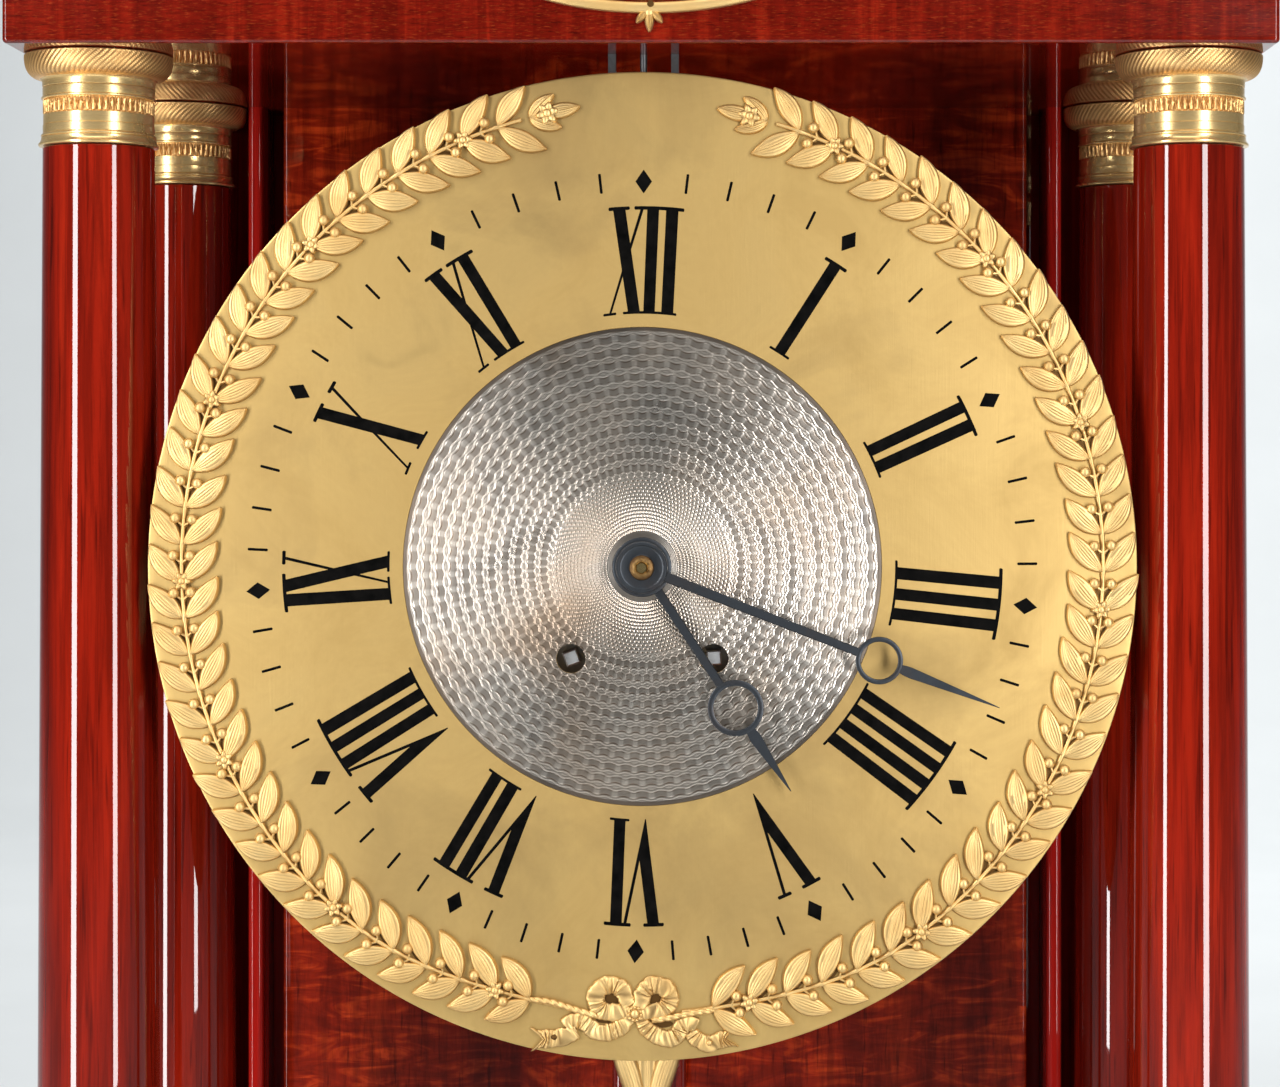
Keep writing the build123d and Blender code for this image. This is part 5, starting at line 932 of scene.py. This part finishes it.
# one button at the ribbon ends is darkened all over, the other is left plain
for c, darkening in (((370, 398), 0.95), ((1180, 428), 0.0)):
    rx, rz = from_crop([c])[0]
    dished(bow, on_dial, [(0.05, 0.5), (0.05, 1.95), (0.5, 1.85), (0.85, 1.6), (0.95, 1.3), (0.95, 0.5)], rx, rz, 24, lambda t, r, d, darkening=darkening: (r, d, darkening + 0 * r))
# painted shadow: dark flat patches in the loops and under the knot stand for the shade there
for gx, gz, gw, gh in ((-9.1, -135.1, 2.7, 2.3), (4.4, -135.2, 2.7, 2.3), (-11.2, -142.1, 3.4, 1.0), (6.2, -143.2, 3.4, 1.3)):
    g = np.linspace(-1, 1, 5)
    patch(bow, on_dial, gx + gw * g[:, None] * np.sqrt(1 - 0.5 * g[None, :] ** 2), gz + gh * g[None, :] * np.sqrt(1 - 0.5 * g[:, None] ** 2), 0.14 + np.zeros((5, 5)), hollow=np.ones((5, 5)))
bow.build("ribbon_bow_chased", M["gilt"], "case", ["ribbon_bow"], "gilt_bronze", 50)

# ------------------------------------------------------------------ frieze mount
mount = Shell()


def oval(a, b, profile, segs=240, cx=2.6, cz=0.0, beads=0):
    p = np.asarray(profile, float)
    t = np.linspace(0, 2 * math.pi, segs, endpoint=False)
    ux, uz = b * np.cos(t), a * np.sin(t)
    k = np.hypot(ux, uz)
    ux, uz = ux / k, uz / k
    o = p[None, :, 0]
    d = np.broadcast_to(p[None, :, 1], (segs, len(p)))
    hollow = np.zeros(d.shape)
    if beads:
        c = np.abs(np.cos(t * beads / 2))[:, None]
        d = np.where(d > 1.0, 1.0 + (d - 1.0) * (0.45 + 0.55 * c), d)
        hollow = np.where(d > 1.0, 0.8 * (1 - c), 0.0)
    mount.add(on_frieze(cx + (a * np.cos(t))[:, None] + ux[:, None] * o, cz + (b * np.sin(t))[:, None] + uz[:, None] * o, d), net(segs, len(p), True, True), hollow=hollow)


oval(62.3, 28.3, [(-1.7, -0.05), (-1.7, 1.0), (-1.4, 1.6), (-0.7, 1.9), (0.0, 2.0), (0.7, 1.9), (1.4, 1.6), (1.7, 1.0), (1.7, -0.05)])
oval(58.6, 24.6, [(-1.4, -0.05), (-1.4, 0.9), (-0.9, 1.6), (0.0, 1.85), (0.9, 1.6), (1.4, 0.9), (1.4, -0.05)], 480, beads=160)
oval(38.0, 12.5, [(-1.0, -0.05), (-1.0, 1.2), (-0.5, 1.7), (0.5, 1.7), (1.0, 1.2), (1.0, -0.05)])
for half in (-1, 1):
    for up in (-1, 1):
        for i in range(13):
            t = math.radians(-84 + 11.6 * i) if up < 0 else None
            if t is None:
                continue
            a, b = 48.5, 18.5
            x, z = half * a * math.cos(t), b * math.sin(t)
            tx, tz = -half * a * math.sin(t), b * math.cos(t)
            hd = math.atan2(tz, tx)
            for side in (-1, 1):
                leaf(mount, on_frieze, (2.6 + x, z), hd + side * 0.62, -side * 0.35, 10.5, 4.2, (0.9, 0.5), 16)
    t = np.radians(np.linspace(-88, 62, 90))
    tube(mount, on_frieze(2.6 + half * 48.5 * np.cos(t), 18.5 * np.sin(t), 0.7 + 0 * t), 0.8, 8)
rosette(mount, on_frieze, 2.6, 0.0, 9.0, 12, 2.6, 0.36)
rosette(mount, on_frieze, 2.6, 0.0, 5.4, 8, 2.9, 0.4, 0.2)
for end in (-1, 1):
    leaf(mount, on_frieze, (2.6, end * 29.4), end * math.pi / 2, 0.0, 6.4, 2.9, (1.2, 0.6), 20, wall=0.3)
    for side in (-1, 1):
        leaf(mount, on_frieze, (2.6 + side * 0.5, end * 29.2), end * math.pi / 2 - end * side * 0.88, end * side * 0.30, 5.2, 2.6, (1.1, 0.6), 20, wall=0.3)
    dished(mount, on_frieze, [(0.05, -0.05), (0.05, 1.9), (0.7, 1.8), (1.3, 1.4), (1.6, 0.8), (1.6, -0.05)], 2.6, end * 29.8, 24)
    t = np.linspace(0, 2 * math.pi, 25)[:-1]
    k = np.linspace(0.05, 1.0, 5)[:, None]
    mount.add(on_frieze(3.0 + 1.05 * k * np.cos(t), end * 27.3 + 1.05 * k * np.sin(t), 2.05 - 0.05 * k + 0 * t).reshape(-1, 3), net(5, 24, False, True), [tuple(range(24)), tuple(range(96, 120))], np.ones(120))
mount.build("frieze_mount_chased", M["gilt"], "case", ["frieze_mount"], "gilt_bronze", 48)

# ------------------------------------------------------------------ pendulum
calyx = Shell()
for side in (-1, 1):
    leaf(calyx, on_rod, (-0.8 + side * 0.6, -206.0), math.pi / 2, -side * 0.47, 46.0, 8.5, (1.3, 1.6), 48, None, 1.6, 2.0, 0.8)
    leaf(calyx, on_rod, (-0.6 + side * 1.2, -206.0), math.pi / 2 - side * 0.55, side * 0.70, 20.0, 6.4, (1.7, 0.8), 28, None, 0.6, 1.0, 0.5)
leaf(calyx, on_rod, (-0.6, -204.0), math.pi / 2, 0.0, 62.0, 10.0, (0.9, 0.9), 52, None, 0.3, 1.0, 0.4)
leaf(calyx, on_rod, (-0.6, -204.0), math.pi / 2, 0.0, 19.0, 4.0, (2.5, 0.9), 40, None, 0.3, 1.0, 0.4)
dished(calyx, on_rod, [(0.2, -0.05), (0.2, 2.9), (2.0, 2.8), (3.2, 2.3), (3.8, 1.4), (3.9, -0.05)], -0.6, -203.0, 48)
rosette(calyx, on_rod, -0.6, -203.0, 2.6, 6, 3.0)
calyx.build("pendulum_calyx", M["gilt"], "pendulum", ["pendulum_leaf"], "gilt_bronze", 48)

# ------------------------------------------------------------------ studio
floor_mesh = bpy.data.meshes.new("studio_floor")
rows = [(-9.0, 0.0)] + [(2.6, 0.0)] + [(2.6 + 1.4 * math.sin(t), 1.4 - 1.4 * math.cos(t)) for t in np.linspace(0.08, math.pi / 2, 20)] + [(4.0, 6.0)]
verts = [(x, y, z) for y, z in rows for x in (-9.0, 9.0)]
floor_mesh.from_pydata(verts, [], [(2 * i, 2 * i + 1, 2 * i + 3, 2 * i + 2) for i in range(len(rows) - 1)])
for p in floor_mesh.polygons:
    p.use_smooth = True
floor = bpy.data.objects.new("studio_floor", floor_mesh)
bpy.context.scene.collection.objects.link(floor)
m, nt, b = material("pale_floor")
cloud = noise(nt, place(nt, (3, 3, 3)), 1.0, 3)
nt.links.new(ramp(nt, cloud, [(0.3, (0.74, 0.77, 0.78)), (0.7, (0.78, 0.81, 0.82))]), b.inputs["Base Color"])
b.inputs["Roughness"].default_value = 0.8
floor_mesh.materials.append(m)

world = bpy.data.worlds.new("studio")
bpy.context.scene.world = world
world.use_nodes = True
world.node_tree.nodes["Background"].inputs["Color"].default_value = (0.80, 0.86, 0.88, 1)
world.node_tree.nodes["Background"].inputs["Strength"].default_value = 0.06


def area(name, place_at, aim, size, power, tint=(1, 1, 1)):
    data = bpy.data.lights.new(name, "AREA")
    data.shape = "RECTANGLE"
    data.size, data.size_y = size
    data.energy = power
    data.color = tint
    o = bpy.data.objects.new(name, data)
    bpy.context.scene.collection.objects.link(o)
    o.location = place_at
    o.rotation_euler = (Vector(aim) - Vector(place_at)).to_track_quat("-Z", "Y").to_euler()
    return o


area("strip_left", (-0.506, -0.536, 0.60), (0.0, 0.0, 0.60), (0.104, 1.00), 6.9)
area("strip_right", (0.479, -0.758, 0.60), (0.0, 0.0, 0.60), (0.145, 1.00), 7.9)
area("overhead", (0.0, -0.9, 2.4), (0.0, 0.0, 0.4), (2.2, 1.6), 26.0)
area("backdrop_wash", (0.48, 1.6, 2.6), (0.24, 3.4, 0.6), (2.4, 1.0), 84.0)

camera_data = bpy.data.cameras.new("photo_camera")
camera = bpy.data.objects.new("photo_camera", camera_data)
bpy.context.scene.collection.objects.link(camera)
camera.location = (0.0262, -0.970, 0.502)
camera.rotation_euler = (math.radians(90), 0, 0)
camera_data.sensor_width = 36.0
camera_data.lens = 79.36
camera_data.shift_x, camera_data.shift_y = -0.0672, -0.0793
camera_data.clip_start, camera_data.clip_end = 0.01, 60.0
bpy.context.scene.camera = camera
bpy.context.scene.view_settings.view_transform = "Standard"
